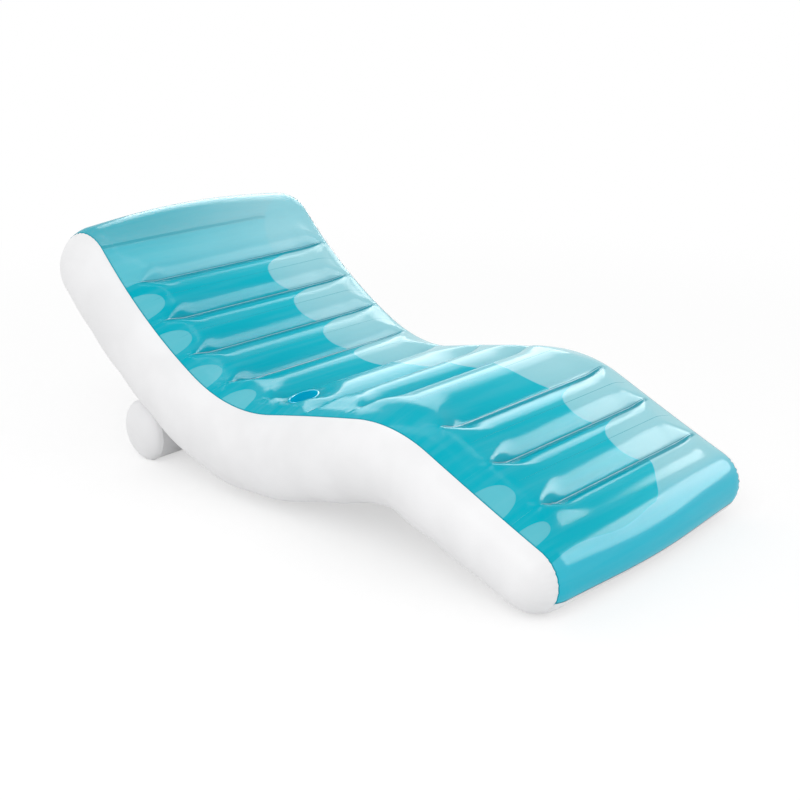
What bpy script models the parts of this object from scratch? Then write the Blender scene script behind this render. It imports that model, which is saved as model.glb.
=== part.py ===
"""Inflatable pool chair: a waved air lounge with a clear top sheet, white sides and a support roll.

X runs from the head (-X) to the foot (+X), Y across the chair, Z up.
The origin is on the floor, under the middle of the chair.
All lengths are metres and all angles are radians.
"""
import math

import bmesh
import bpy
from mathutils import Matrix, Vector

# Film and clearances
FILM = 0.0005
GAP = 0.0003
CUT_OVERRUN = 0.02

# Side outline: the middle line of the air body is a chain of runs, from the head to the foot
BACK_RUN = 0.482
SEAT_RUN = 0.370
RISE_RUN = 0.293
KNEE_RUN = 0.159
FOOT_RUN = 0.342
HEAD_SLOPE = math.radians(-47.4)
BACK_SLOPE = math.radians(-29.0)
RISE_SLOPE = math.radians(13.2)
FOOT_SLOPE = math.radians(-21.7)

# Cross section: a flat middle between two half-round sides
CORE_HALF_WIDTH = 0.3325
SIDE_BULGE = 0.096
HEAD_DEPTH = 0.113
FOOT_DEPTH = 0.083
SEAT_SWELL = 0.0177
SWELL_SKEW = 1.16
SEAM_ANGLE = math.radians(67.7)
SEAM_LAP = 0.009

# Cross channels of the sheets, held down by the inner baffles
CREASE_SHARES = (0.083, 0.1695, 0.254, 0.349, 0.462, 0.5925, 0.679, 0.780, 0.860, 0.949)
CELL_CROWN = 0.016
CREASE_DEPTH = 0.009
CHANNEL_HALF_WIDTH = 0.235
WALL_ROW_SHARES = (0.0, 0.27, 0.52, 0.77, 1.0)
END_CELL_SHARE = 0.5
CELL_STEPS = 4
HEAD_CELL_STEPS = 3
FOOT_CELL_STEPS = 2

# Where the top sheet ends, as turns round the rounded head and foot
HEAD_SEAM_TURN = math.radians(127.0)
FOOT_SEAM_TURN = math.radians(86.0)
CONTACT_TURN = math.radians(9.0)
HEAD_STEPS = 6
FOOT_STEPS = 4
UNDER_STEPS = 3

# Support roll, which stands on the floor and is tied to the underside by a web
ROLL_CLEARANCE = 0.0066
ROLL_SEARCH_STEPS = 40
ROLL_HALF_WIDTH = 0.344
ROLL_SHORT_RADIUS = 0.0740
ROLL_LONG_RADIUS = 0.0822
ROLL_LEAN = math.radians(18.0)
ROLL_SIDES = 28
CAP_DOME = 0.0355
CAP_RING_SHARES = (1.0, 0.93, 0.78, 0.55, 0.32)

# Drink holder, a tapered pocket between two creases
CUP_SHARE = 0.503
CUP_SIDE_SHARE = -0.7068
CUP_TOP_RADIUS = 0.039
CUP_FLOOR_RADIUS = 0.0335
CUP_DEPTH = 0.085
CUP_WALL = 0.0008
CUP_SIDES = 32

# Valves
VALVE_SIDES = 24
FLANGE_RADIUS = 0.014
FLANGE_THICKNESS = 0.0012
NECK_RADIUS = 0.0095
NECK_DEPTH = 0.004
STEM_RADIUS = 0.0070
STEM_BORE = 0.0046
STEM_DEPTH = 0.017
STEM_LIP_RADIUS = 0.0086
STEM_LIP_THICKNESS = 0.0010
STEM_COLLAR_RADIUS = 0.0088
STEM_COLLAR_THICKNESS = 0.0015
STEM_CLEARANCE = 0.0004
PLUG_RADIUS = 0.0042
PLUG_TIP_RADIUS = 0.0032
PLUG_DEPTH = 0.0045
STOPPER_RADIUS = 0.0082
STOPPER_THICKNESS = 0.0015
STRAP_REACH = 0.0125
STRAP_WIDTH = 0.0050
STRAP_THICKNESS = 0.0010
STRAP_ROOT_SHARE = 0.5
MAIN_VALVE_SIDE_PLACE = 0.075

MERGE_DISTANCE = 0.00001
SHARP_ANGLE = math.radians(40.0)

WHITE = (0.90, 0.905, 0.915)
TEAL = (0.0, 0.40, 0.50)
CLEAR_BLUE = (0.16, 0.62, 0.80)
VALVE_CLEAR = (0.80, 0.84, 0.86)

RUNS = (
    (BACK_RUN, HEAD_SLOPE, BACK_SLOPE),
    (SEAT_RUN, BACK_SLOPE, RISE_SLOPE),
    (RISE_RUN, RISE_SLOPE, RISE_SLOPE),
    (KNEE_RUN, RISE_SLOPE, FOOT_SLOPE),
    (FOOT_RUN, FOOT_SLOPE, FOOT_SLOPE),
)
SPINE_LENGTH = BACK_RUN + SEAT_RUN + RISE_RUN + KNEE_RUN + FOOT_RUN
CREASES = [share * SPINE_LENGTH for share in CREASE_SHARES]


def clear_scene():
    for thing in list(bpy.data.objects):
        bpy.data.objects.remove(thing, do_unlink=True)


def new_collection(name):
    group = bpy.data.collections.new(name)
    bpy.context.scene.collection.children.link(group)
    return group


def new_material(name, colour, roughness, clearness=0.0):
    material = bpy.data.materials.new(name)
    material.use_nodes = True
    shader = material.node_tree.nodes["Principled BSDF"]
    shader.inputs["Base Color"].default_value = (*colour, 1.0)
    shader.inputs["Roughness"].default_value = roughness
    shader.inputs["Metallic"].default_value = 0.0
    shader.inputs["Transmission Weight"].default_value = clearness
    return material


def new_object(name, mesh, group, material=None):
    thing = bpy.data.objects.new(name, mesh)
    group.objects.link(thing)
    if material:
        mesh.materials.append(material)
    return thing


def mesh_from_bmesh(name, shape):
    mesh = bpy.data.meshes.new(name)
    shape.to_mesh(mesh)
    shape.free()
    mesh.shade_smooth()
    mesh.set_sharp_from_angle(angle=SHARP_ANGLE)
    return mesh


def spine(along):
    """Point and slope of the middle line, at a length from the head end."""
    x, z, slope, left = 0.0, 0.0, HEAD_SLOPE, along
    for run, start, end in RUNS:
        step = min(max(left, 0.0), run)
        slope = start + (end - start) * step / run
        if abs(end - start) < MERGE_DISTANCE:
            x += step * math.cos(start)
            z += step * math.sin(start)
        else:
            radius = run / (end - start)
            x += radius * (math.sin(slope) - math.sin(start))
            z += radius * (math.cos(start) - math.cos(slope))
        left -= step
        if left <= 0.0:
            break
    return x, z, slope


def depth(along):
    """Half of the body's thickness, fullest at the seat."""
    share = min(max(along / SPINE_LENGTH, 0.0), 1.0)
    swell = math.sin(math.pi * share ** SWELL_SKEW) ** 2
    return HEAD_DEPTH + (FOOT_DEPTH - HEAD_DEPTH) * share + SEAT_SWELL * swell


def crown(along):
    """Rise of a sheet over the plain depth, from crease to crease."""
    marks = [0.0] + CREASES + [SPINE_LENGTH]
    cell = max(i for i, mark in enumerate(marks[:-1]) if along >= mark - MERGE_DISTANCE)
    share = (along - marks[cell]) / (marks[cell + 1] - marks[cell])
    share = min(max(share, 0.0), 1.0)
    if 0 < cell < len(marks) - 2:
        return (CELL_CROWN + CREASE_DEPTH) * math.sin(math.pi * share) - CREASE_DEPTH
    if cell > 0:
        share = 1 - share
    rise = END_CELL_SHARE * CELL_CROWN * math.sin(math.pi * share ** 2)
    return rise - CREASE_DEPTH * share ** 2


def station(along, side, turn=0.0):
    """A place on the loop round the body: side is 1 on top and -1 below; turn winds round an end."""
    x, z, slope = spine(along)
    if side > 0:
        facing = slope + math.pi / 2
    else:
        facing = slope - math.pi / 2
    at_foot = along > SPINE_LENGTH / 2
    facing += -turn if at_foot == (side > 0) else turn
    return {
        "centre": (x, z),
        "out": (math.cos(facing), math.sin(facing)),
        "depth": depth(along),
        "crown": crown(along),
    }


def channel_strength(y):
    """How fully a crease is drawn in at a distance from the middle."""
    edge = CORE_HALF_WIDTH + SIDE_BULGE * math.cos(SEAM_ANGLE)
    share = (abs(y) - CHANNEL_HALF_WIDTH) / (edge - CHANNEL_HALF_WIDTH)
    return math.cos(min(max(share, 0.0), 1.0) * math.pi / 2) ** 2


def raw_skin_point(place, y, angle, inset):
    """A point of the skin: angle is 90 degrees over the flat middle and 0 at the side."""
    strength = channel_strength(y)
    if angle < math.pi / 2:
        y = math.copysign(CORE_HALF_WIDTH + (SIDE_BULGE - inset) * math.cos(angle), y)
    lift = (place["depth"] - inset + place["crown"] * strength) * math.sin(angle)
    x = place["centre"][0] + place["out"][0] * lift
    z = place["centre"][1] + place["out"][1] * lift
    return Vector((x, y, z))


def side_place(angle):
    return CORE_HALF_WIDTH + SIDE_BULGE * math.cos(angle)


LAP_ANGLE = SEAM_ANGLE + SEAM_LAP / SIDE_BULGE


def sheet_columns():
    """Section of a sheet from the left seam to the right seam, as (y, angle)."""
    mid_angle = (LAP_ANGLE + math.pi / 2) / 2
    half = [(side_place(a), a) for a in (SEAM_ANGLE, LAP_ANGLE, mid_angle)]
    half += [(y, math.pi / 2) for y in (CORE_HALF_WIDTH, CHANNEL_HALF_WIDTH, CHANNEL_HALF_WIDTH / 2, 0.0)]
    return half + [(-y, a) for y, a in reversed(half[:-1])]


def wall_columns(sign):
    """Section of a side wall from the middle of its bulge to the lapped edge."""
    angles = [share * SEAM_ANGLE for share in WALL_ROW_SHARES] + [LAP_ANGLE]
    return [(sign * side_place(a), a) for a in angles]


def evenly(start, end, steps):
    return [start + (end - start) * i / steps for i in range(steps + 1)]


def cell_marks():
    """Lengths at which the loop has a section: the creases and a few places in each cell."""
    marks = evenly(0.0, CREASES[0], HEAD_CELL_STEPS)
    for start, end in zip(CREASES, CREASES[1:]):
        marks += evenly(start, end, CELL_STEPS)[1:]
    return marks + evenly(CREASES[-1], SPINE_LENGTH, FOOT_CELL_STEPS)[1:]


def top_stations():
    """From the seam behind the head, over the top, to the seam at the foot."""
    head = [station(0.0, 1, t) for t in evenly(HEAD_SEAM_TURN, 0.0, HEAD_STEPS)[:-1]]
    foot = [station(SPINE_LENGTH, 1, t) for t in evenly(0.0, FOOT_SEAM_TURN, FOOT_STEPS)[1:]]
    return head + [station(s, 1) for s in cell_marks()] + foot


def bottom_stations(seam_gap=GAP):
    """From the foot seam, round under the foot, along the underside, and up behind the head."""
    level = -FOOT_SLOPE
    seam = math.pi - FOOT_SEAM_TURN - seam_gap / FOOT_DEPTH
    foot = [station(SPINE_LENGTH, -1, t) for t in evenly(seam, level + CONTACT_TURN, UNDER_STEPS)]
    foot.append(station(SPINE_LENGTH, -1, level - CONTACT_TURN))
    seam = math.pi - HEAD_SEAM_TURN - seam_gap / HEAD_DEPTH
    head = [station(0.0, -1, t) for t in evenly(0.0, seam, UNDER_STEPS)[1:]]
    return foot + [station(s, -1) for s in reversed(cell_marks())] + head


def standing_shift():
    """The move that stands the foot on the floor and centres the length on the origin."""
    points = [raw_skin_point(s, 0.0, math.pi / 2, 0.0) for s in top_stations() + bottom_stations()]
    middle = (min(p.x for p in points) + max(p.x for p in points)) / 2
    return Vector((-middle, 0.0, -min(p.z for p in points)))


SHIFT = standing_shift()


def skin_point(place, y, angle, inset):
    return raw_skin_point(place, y, angle, inset) + SHIFT


def skin_surface(name, places, columns, inset, closed=False, flip=False):
    """An open surface through the sections, with its faces pointing out."""
    shape = bmesh.new()
    rows = []
    for place in places:
        rows.append([shape.verts.new(skin_point(place, y, angle, inset)) for y, angle in columns])
    pairs = list(zip(rows, rows[1:]))
    if closed:
        pairs.append((rows[-1], rows[0]))
    for row, after in pairs:
        for i in range(len(columns) - 1):
            shape.faces.new((row[i], row[i + 1], after[i + 1], after[i]))
    bmesh.ops.remove_doubles(shape, verts=shape.verts, dist=MERGE_DISTANCE)
    if flip:
        bmesh.ops.reverse_faces(shape, faces=shape.faces)
    return mesh_from_bmesh(name, shape)


def add_film(thing, thickness=FILM, offset=-1.0):
    """Give an open surface the thickness of its film, on its inner side."""
    solidify = thing.modifiers.new("film", "SOLIDIFY")
    solidify.thickness = thickness
    solidify.offset = offset
    solidify.use_even_offset = True
    return solidify


def add_cut(thing, cutter, operation="DIFFERENCE"):
    cut = thing.modifiers.new("cut", "BOOLEAN")
    cut.operation = operation
    cut.object = cutter
    return cut


def turned_object(name, profile, sides, seat, group, material=None):
    """A solid turned about the seat's Z, from a profile of (radius, height) that runs down its outside."""
    shape = bmesh.new()
    corners = [shape.verts.new((radius, 0.0, height)) for radius, height in profile]
    for upper, lower in zip(corners, corners[1:]):
        shape.edges.new((upper, lower))
    if profile[0][0] > MERGE_DISTANCE:
        shape.edges.new((corners[-1], corners[0]))
    mesh = bpy.data.meshes.new(name)
    shape.to_mesh(mesh)
    shape.free()
    thing = new_object(name, mesh, group, material)
    thing.matrix_world = seat
    turn = thing.modifiers.new("turn", "SCREW")
    turn.axis = "Z"
    turn.angle = math.tau
    turn.steps = sides
    turn.render_steps = sides
    turn.use_merge_vertices = True
    turn.merge_threshold = MERGE_DISTANCE
    turn.use_normal_calculate = False
    turn.use_smooth_shade = False
    return thing


def make_sheets(group, materials):
    top = skin_surface("top_sheet", top_stations(), sheet_columns(), 0.0)
    top_sheet = new_object("top_sheet", top, group, materials["teal"])
    add_film(top_sheet)
    bottom = skin_surface("bottom_sheet", bottom_stations(), sheet_columns(), 0.0)
    bottom_sheet = new_object("bottom_sheet", bottom, group, materials["white"])
    add_film(bottom_sheet)
    return top_sheet, bottom_sheet


def make_side_wall(name, sign, group, materials):
    """A side wall that runs all round the outline, lapped under the edges of both sheets."""
    places = top_stations() + bottom_stations(0.0)[1:-1]
    wall = skin_surface(name, places, wall_columns(sign), FILM + GAP, closed=True, flip=sign < 0)
    add_film(new_object(name, wall, group, materials["white"]))


def make_baffle(number, group, materials):
    """A film web that ties the two sheets together along one crease."""
    along = CREASES[number - 1]
    columns = [(y, angle) for y, angle in sheet_columns() if abs(y) <= CORE_HALF_WIDTH]
    shape = bmesh.new()
    rows = []
    for side in (1, -1):
        place = station(along, side)
        rows.append([shape.verts.new(skin_point(place, y, a, 2 * FILM + GAP)) for y, a in columns])
    for i in range(len(columns) - 1):
        shape.faces.new((rows[0][i], rows[0][i + 1], rows[1][i + 1], rows[1][i]))
    name = f"baffle_{number:02d}"
    add_film(new_object(name, mesh_from_bmesh(name, shape), group, materials["white"]), offset=0.0)


def roll_section(scale, y):
    """A ring of the roll's oval section, turned so that one side of it lies level at the bottom."""
    short = ROLL_SHORT_RADIUS * scale
    long = ROLL_LONG_RADIUS * scale
    lowest = math.atan2(-long * math.cos(ROLL_LEAN), -short * math.sin(ROLL_LEAN))
    ring = []
    for i in range(ROLL_SIDES):
        t = lowest + math.tau * (i + 0.5) / ROLL_SIDES
        across, up = short * math.cos(t), long * math.sin(t)
        x = across * math.cos(ROLL_LEAN) - up * math.sin(ROLL_LEAN)
        z = across * math.sin(ROLL_LEAN) + up * math.cos(ROLL_LEAN)
        ring.append(Vector((x, y, z)))
    return ring


def nearest_on_line(point, start, end):
    """The point of a line between two others that is nearest to a point, in the XZ plane."""
    run = Vector((end.x - start.x, 0.0, end.z - start.z))
    share = (point - start).dot(run) / run.length_squared
    return start + run * min(max(share, 0.0), 1.0)


def underside_line():
    """The outer line of the underside, as it runs in the middle of the chair."""
    return [skin_point(place, 0.0, math.pi / 2, 0.0) for place in bottom_stations()]


def height_over(line, x):
    """How high a line from the seat up to the head lies at a place along the chair."""
    for low, high in zip(line, line[1:]):
        if high.x <= x <= low.x:
            return low.z + (high.z - low.z) * (low.x - x) / (low.x - high.x)
    return line[-1].z


def roll_place(ring):
    """Where the roll's middle stands: as far to the seat as its clearance under the back lets it."""
    seat_middle = BACK_RUN + SEAT_RUN / 2
    marks = [mark for mark in reversed(cell_marks()) if mark < seat_middle]
    line = [skin_point(station(mark, -1), 0.0, math.pi / 2, 0.0) for mark in marks]
    start, end = line[-1].x, line[0].x
    for _ in range(ROLL_SEARCH_STEPS):
        middle = (start + end) / 2
        if min(height_over(line, p.x + middle) - p.z for p in ring) > ROLL_CLEARANCE:
            start = middle
        else:
            end = middle
    return start


def make_roll_web(ring, group, materials):
    """A welded film web that ties the roll to the underside along their closest line."""
    line = underside_line()
    best = None
    for point in ring:
        for start, end in zip(line, line[1:]):
            landing = nearest_on_line(point, start, end)
            if best is None or (landing - point).length < (best[1] - best[0]).length:
                best = (point, landing)
    foot, landing = best
    up = (landing - foot).normalized()
    foot, landing = foot + up * GAP, landing - up * GAP
    shape = bmesh.new()
    edge = Vector((0.0, CHANNEL_HALF_WIDTH - GAP, 0.0))
    shape.faces.new([shape.verts.new(p) for p in (foot - edge, foot + edge, landing + edge, landing - edge)])
    web = new_object("roll_web", mesh_from_bmesh("roll_web", shape), group, materials["white"])
    add_film(web, offset=0.0)


def make_roll(group, materials):
    height = -min(point.z for point in roll_section(1.0, 0.0))
    standing = [point + Vector((0.0, 0.0, height)) for point in roll_section(1.0, 0.0)]
    centre = Vector((roll_place(standing), 0.0, height))
    make_roll_web([point + centre for point in roll_section(1.0, 0.0)], group, materials)
    shape = bmesh.new()
    rings = []
    for y in (ROLL_HALF_WIDTH - GAP, -ROLL_HALF_WIDTH + GAP):
        rings.append([shape.verts.new(point + centre) for point in roll_section(1.0, y)])
    for i in range(ROLL_SIDES):
        j = (i + 1) % ROLL_SIDES
        shape.faces.new((rings[0][i], rings[0][j], rings[1][j], rings[1][i]))
    tube = new_object("roll_tube", mesh_from_bmesh("roll_tube", shape), group, materials["white"])
    add_film(tube)
    caps = {}
    for name, sign in (("roll_cap_right", -1), ("roll_cap_left", 1)):
        shape = bmesh.new()
        rings = []
        for share in CAP_RING_SHARES:
            y = sign * (ROLL_HALF_WIDTH + CAP_DOME * math.sqrt(max(0.0, 1 - share ** 2)))
            rings.append([shape.verts.new(point + centre) for point in roll_section(share, y)])
        middle_y = rings[-1][0].co.y
        for outer, inner in zip(rings, rings[1:]):
            for i in range(ROLL_SIDES):
                j = (i + 1) % ROLL_SIDES
                shape.faces.new((outer[i], outer[j], inner[j], inner[i]))
        shape.faces.new(rings[-1])
        if sign > 0:
            bmesh.ops.reverse_faces(shape, faces=shape.faces)
        caps[name] = new_object(name, mesh_from_bmesh(name, shape), group, materials["white"])
        add_film(caps[name])
    seat = Matrix.Translation(centre + Vector((0.0, middle_y, 0.0))) @ Matrix.Rotation(-math.pi / 2, 4, "X")
    return caps["roll_cap_left"], seat


def seat_matrix(corners):
    """A frame whose Z leaves a flat patch of the skin, with its origin at the patch's centre."""
    centre = sum(corners, Vector()) / len(corners)
    out = (corners[2] - corners[0]).cross(corners[3] - corners[1]).normalized()
    across = (corners[1] - corners[0]).normalized()
    turn = Matrix((across, out.cross(across), out)).transposed().to_4x4()
    return Matrix.Translation(centre) @ turn


def main_valve_seat():
    """The flat patch behind the head that carries the body's valve."""
    marks = cell_marks()
    first, second = station(marks[2], -1), station(marks[1], -1)
    right, left = 0.0, 2 * MAIN_VALVE_SIDE_PLACE
    corners = [
        skin_point(first, left, math.pi / 2, 0.0),
        skin_point(first, right, math.pi / 2, 0.0),
        skin_point(second, right, math.pi / 2, 0.0),
        skin_point(second, left, math.pi / 2, 0.0),
    ]
    return seat_matrix(corners)


def strap_box(name, start, end, bottom, thickness, seat, cutters):
    """A flat bar along the seat's -X, that is joined to a turned part."""
    shape = bmesh.new()
    bmesh.ops.create_cube(shape, size=1.0)
    middle = Vector((-(start + end) / 2, 0.0, bottom + thickness / 2))
    stretch = Matrix.Diagonal((end - start, STRAP_WIDTH, thickness, 1.0))
    bmesh.ops.transform(shape, verts=shape.verts, matrix=Matrix.Translation(middle) @ stretch)
    bar = new_object(name, mesh_from_bmesh(name, shape), cutters)
    bar.matrix_world = seat
    return bar


def make_valve(name, seat, carrier, group, cutters, materials):
    """A pressed-in valve: a flanged base on the film, a stem that pulls out, and a stopper on a strap."""
    clear = materials["valve"]
    flange_top = GAP + FLANGE_THICKNESS
    bore = STEM_RADIUS + STEM_CLEARANCE
    turned_object(f"{name}_base", (
        (bore, flange_top),
        (FLANGE_RADIUS, flange_top),
        (FLANGE_RADIUS, GAP),
        (NECK_RADIUS, GAP),
        (NECK_RADIUS, -NECK_DEPTH),
        (bore, -NECK_DEPTH),
    ), VALVE_SIDES, seat, group, clear)
    hole = turned_object(f"{name}_hole", (
        (0.0, CUT_OVERRUN),
        (NECK_RADIUS + GAP, CUT_OVERRUN),
        (NECK_RADIUS + GAP, -CUT_OVERRUN),
        (0.0, -CUT_OVERRUN),
    ), VALVE_SIDES, seat, cutters)
    add_cut(carrier, hole)

    lip_bottom = flange_top + GAP
    lip_top = lip_bottom + STEM_LIP_THICKNESS
    collar_top = STEM_COLLAR_THICKNESS - STEM_DEPTH
    stem = turned_object(f"{name}_stem", (
        (STEM_BORE, lip_top),
        (STEM_LIP_RADIUS, lip_top),
        (STEM_LIP_RADIUS, lip_bottom),
        (STEM_RADIUS, lip_bottom),
        (STEM_RADIUS, collar_top),
        (STEM_COLLAR_RADIUS, collar_top),
        (STEM_COLLAR_RADIUS, -STEM_DEPTH),
        (STEM_BORE, -STEM_DEPTH),
    ), VALVE_SIDES, seat, group, clear)
    tab_start = (STEM_BORE + STEM_LIP_RADIUS) / 2
    tab = strap_box(f"{name}_tab", tab_start, STRAP_REACH - GAP, lip_bottom, STEM_LIP_THICKNESS, seat, cutters)
    add_cut(stem, tab, "UNION")

    cap_bottom = lip_top + GAP
    cap_top = cap_bottom + STOPPER_THICKNESS
    stopper = turned_object(f"{name}_stopper", (
        (0.0, cap_top),
        (STOPPER_RADIUS, cap_top),
        (STOPPER_RADIUS, cap_bottom),
        (PLUG_RADIUS, cap_bottom),
        (PLUG_TIP_RADIUS, cap_bottom - PLUG_DEPTH),
        (0.0, cap_bottom - PLUG_DEPTH),
    ), VALVE_SIDES, seat, group, clear)
    root = STRAP_ROOT_SHARE * STOPPER_RADIUS
    strap = strap_box(f"{name}_strap", root, STRAP_REACH, cap_bottom, STRAP_THICKNESS, seat, cutters)
    add_cut(stopper, strap, "UNION")


def make_cup(top_sheet, group, cutters, materials):
    """A tapered pocket in the seat: its sleeve ends flush with the sheet, and a disc closes it below."""
    place = station(CUP_SHARE * SPINE_LENGTH, 1)
    mouth = skin_point(place, CUP_SIDE_SHARE * CORE_HALF_WIDTH, math.pi / 2, 0.0)
    out = Vector((place["out"][0], 0.0, place["out"][1]))
    across = Vector((0.0, 1.0, 0.0))
    seat = Matrix.Translation(mouth) @ Matrix((across.cross(out), across, out)).transposed().to_4x4()
    slant = (CUP_TOP_RADIUS - CUP_FLOOR_RADIUS) / CUP_DEPTH
    rise = CUP_TOP_RADIUS + slant * CUT_OVERRUN
    sleeve = turned_object("cup_sleeve", (
        (rise, CUT_OVERRUN),
        (rise + CUP_WALL, CUT_OVERRUN),
        (CUP_FLOOR_RADIUS + CUP_WALL, -CUP_DEPTH),
        (CUP_FLOOR_RADIUS, -CUP_DEPTH),
    ), CUP_SIDES, seat, group, materials["blue"])
    hole = turned_object("cup_hole", (
        (0.0, CUT_OVERRUN),
        (rise + CUP_WALL + GAP, CUT_OVERRUN),
        (CUP_TOP_RADIUS - slant * CUT_OVERRUN + CUP_WALL + GAP, -CUT_OVERRUN),
        (0.0, -CUT_OVERRUN),
    ), CUP_SIDES, seat, cutters)
    add_cut(top_sheet, hole)
    trim = skin_surface("cup_trim", top_stations(), sheet_columns(), 0.0)
    trim_object = new_object("cup_trim", trim, cutters)
    add_film(trim_object, thickness=2 * CUT_OVERRUN, offset=1.0)
    add_cut(sleeve, trim_object)
    turned_object("cup_floor", (
        (0.0, -CUP_DEPTH - GAP),
        (CUP_FLOOR_RADIUS + CUP_WALL, -CUP_DEPTH - GAP),
        (CUP_FLOOR_RADIUS + CUP_WALL, -CUP_DEPTH - GAP - CUP_WALL),
        (0.0, -CUP_DEPTH - GAP - CUP_WALL),
    ), CUP_SIDES, seat, group, materials["blue"])


def main():
    clear_scene()
    group = new_collection("inflatable_pool_chair")
    cutters = new_collection("cutters")
    materials = {
        "white": new_material("white_film", WHITE, 0.32),
        "teal": new_material("teal_film", TEAL, 0.12, 0.6),
        "blue": new_material("clear_blue_film", CLEAR_BLUE, 0.12, 0.6),
        "valve": new_material("clear_valve", VALVE_CLEAR, 0.25, 0.4),
    }
    top_sheet, bottom_sheet = make_sheets(group, materials)
    make_side_wall("side_wall_right", -1, group, materials)
    make_side_wall("side_wall_left", 1, group, materials)
    for number in range(1, len(CREASES) + 1):
        make_baffle(number, group, materials)
    left_cap, roll_seat = make_roll(group, materials)
    make_cup(top_sheet, group, cutters, materials)
    make_valve("main_valve", main_valve_seat(), bottom_sheet, group, cutters, materials)
    make_valve("roll_valve", roll_seat, left_cap, group, cutters, materials)
    for cutter in cutters.objects:
        cutter.hide_render = True
        cutter.display_type = "WIRE"


main()
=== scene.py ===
"""Looks of an inflatable pool chair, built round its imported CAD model.

A clear teal top film with a two-tone print, white side walls and underside, a web under each cross weld,
a white support roll, a clear blue drink holder and two clear valves.
X runs from the head (-X) to the foot (+X), Y across the chair, Z up. Lengths are metres, angles are radians.
"""

import math
from functools import partial

import bmesh
import bpy
import numpy as np
from bpy.props import FloatProperty, FloatVectorProperty, IntProperty, PointerProperty
from mathutils import Matrix, Vector


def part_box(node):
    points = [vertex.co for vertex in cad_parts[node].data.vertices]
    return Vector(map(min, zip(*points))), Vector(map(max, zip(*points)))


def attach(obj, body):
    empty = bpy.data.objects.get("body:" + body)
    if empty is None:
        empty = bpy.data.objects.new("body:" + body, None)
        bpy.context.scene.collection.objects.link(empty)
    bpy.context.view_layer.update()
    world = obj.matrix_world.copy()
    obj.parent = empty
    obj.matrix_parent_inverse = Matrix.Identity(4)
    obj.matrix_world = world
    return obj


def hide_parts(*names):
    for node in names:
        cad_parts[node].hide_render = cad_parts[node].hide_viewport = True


bl_info = {
    "name": "Inflatable pool chair looks",
    "version": (1, 0, 0),
    "blender": (4, 5, 0),
    "location": "View3D > Sidebar > Pool Chair",
    "description": "Builds the visible films, welds, roll and valves of an inflatable pool chair",
    "category": "Object",
}

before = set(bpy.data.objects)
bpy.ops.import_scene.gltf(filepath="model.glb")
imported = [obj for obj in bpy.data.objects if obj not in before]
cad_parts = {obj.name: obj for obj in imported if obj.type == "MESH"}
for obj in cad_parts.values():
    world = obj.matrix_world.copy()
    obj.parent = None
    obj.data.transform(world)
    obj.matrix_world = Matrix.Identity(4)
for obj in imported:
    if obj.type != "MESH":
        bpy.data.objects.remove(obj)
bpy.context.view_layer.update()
FLOAT_BODY = "float"

# The middle line of the air body: length, slope at its start and at its end, from the head to the foot
RUNS = (
    (0.482, math.radians(-47.4), math.radians(-29.0)),
    (0.370, math.radians(-29.0), math.radians(13.2)),
    (0.293, math.radians(13.2), math.radians(13.2)),
    (0.159, math.radians(13.2), math.radians(-21.7)),
    (0.342, math.radians(-21.7), math.radians(-21.7)),
)
SPINE_LENGTH = sum(run[0] for run in RUNS)
SPINE_START = (-0.7326567, 0.4996331)

# Cross welds of the top film: share of the middle line, and how far each reaches to the right and the left
WELDS = (
    (0.083, 0.339, 0.358),
    (0.1695, 0.338, 0.355),
    (0.254, 0.342, 0.359),
    (0.349, 0.322, 0.363),
    (0.462, 0.314, 0.348),
    (0.5925, 0.361, 0.296),
    (0.679, 0.333, 0.335),
    (0.780, 0.297, 0.349),
    (0.860, 0.282, 0.357),
    (0.949, 0.279, 0.367),
)
UNDER_WELD_REACH = 0.30
WELD_PLACES = np.array([share * SPINE_LENGTH for share, _, _ in WELDS])
CELL_MARKS = np.concatenate(([0.0], WELD_PLACES, [SPINE_LENGTH]))

# Rows beside a weld, and the even row and column spacing elsewhere
WELD_ROW_OFFSETS = (0.0, 0.0008, 0.0016, 0.0026, 0.0040, 0.0060, 0.0090, 0.0130, 0.0180)
ROW_SPACING = 0.0075
END_ROW_SPACING = 0.006
ROW_DIGITS = 7
MIDDLE_SPACING = 0.0085
EDGE_SPACING = 0.0040
EDGE_START = 0.215

# Where the films meet: the turn round the head and round the foot, and the angle of the side seams
HEAD_SEAM_TURN = math.radians(127.0)
FOOT_SEAM_TURN = math.radians(95.0)
SEAM_ANGLE = math.radians(67.7)

# The rounded ends swell in the middle: height, place round the end, spread, share drawn in, and power of the fall
HEAD_SWELL = (0.029, math.radians(58.0), math.radians(90.0), 0.30, 1.0)
FOOT_SWELL = (0.0155, math.radians(85.0), math.radians(64.0), 0.0, 2.0)
# The least height of a film over the floor
FLOOR_GAP = 0.0002

# Share of the cell over which a crest runs out at each end, and over which the first and last valleys rise
CREST_RUN_OUT = 0.85
HEAD_VALLEY = 0.62
FOOT_VALLEY = 0.9
WELD_HALF_WIDTH = 0.0012
VALLEY_POWER = 0.8

# Folds beyond a weld's end: how many, how far inside it they start, how far they reach, and the angles of their fading
FOLD_COUNT = 8
FOLD_TURN = 1.7
FOLD_START = 0.012
FOLD_REACH = 0.034
FOLD_WIDEST = math.radians(80)
FOLD_FADE = math.radians(45)
FOLD_SEAM_FADE = 0.08

# Gathers along a seam: length, wander and its rate, and of the short ones length, share and shift
GATHERS = (0.017, 1.3, 23.0)
SHORT_GATHERS = (0.0107, 0.5, 1.1)
# Their reach from an end, least share, turn at which they are full, and strength
HEAD_GATHERS = (0.07, 0.4, 0.5, 0.8)
FOOT_GATHERS = (0.03, 0.2, 0.4, 1.0)
UNDER_GATHERS = 0.7
UNDER_GATHER_TURN = 0.75
UNDER_GATHER_FADE = 0.4
SCALLOP_REST = 0.35
SCALLOP_RUN_OUT = 0.12
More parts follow.
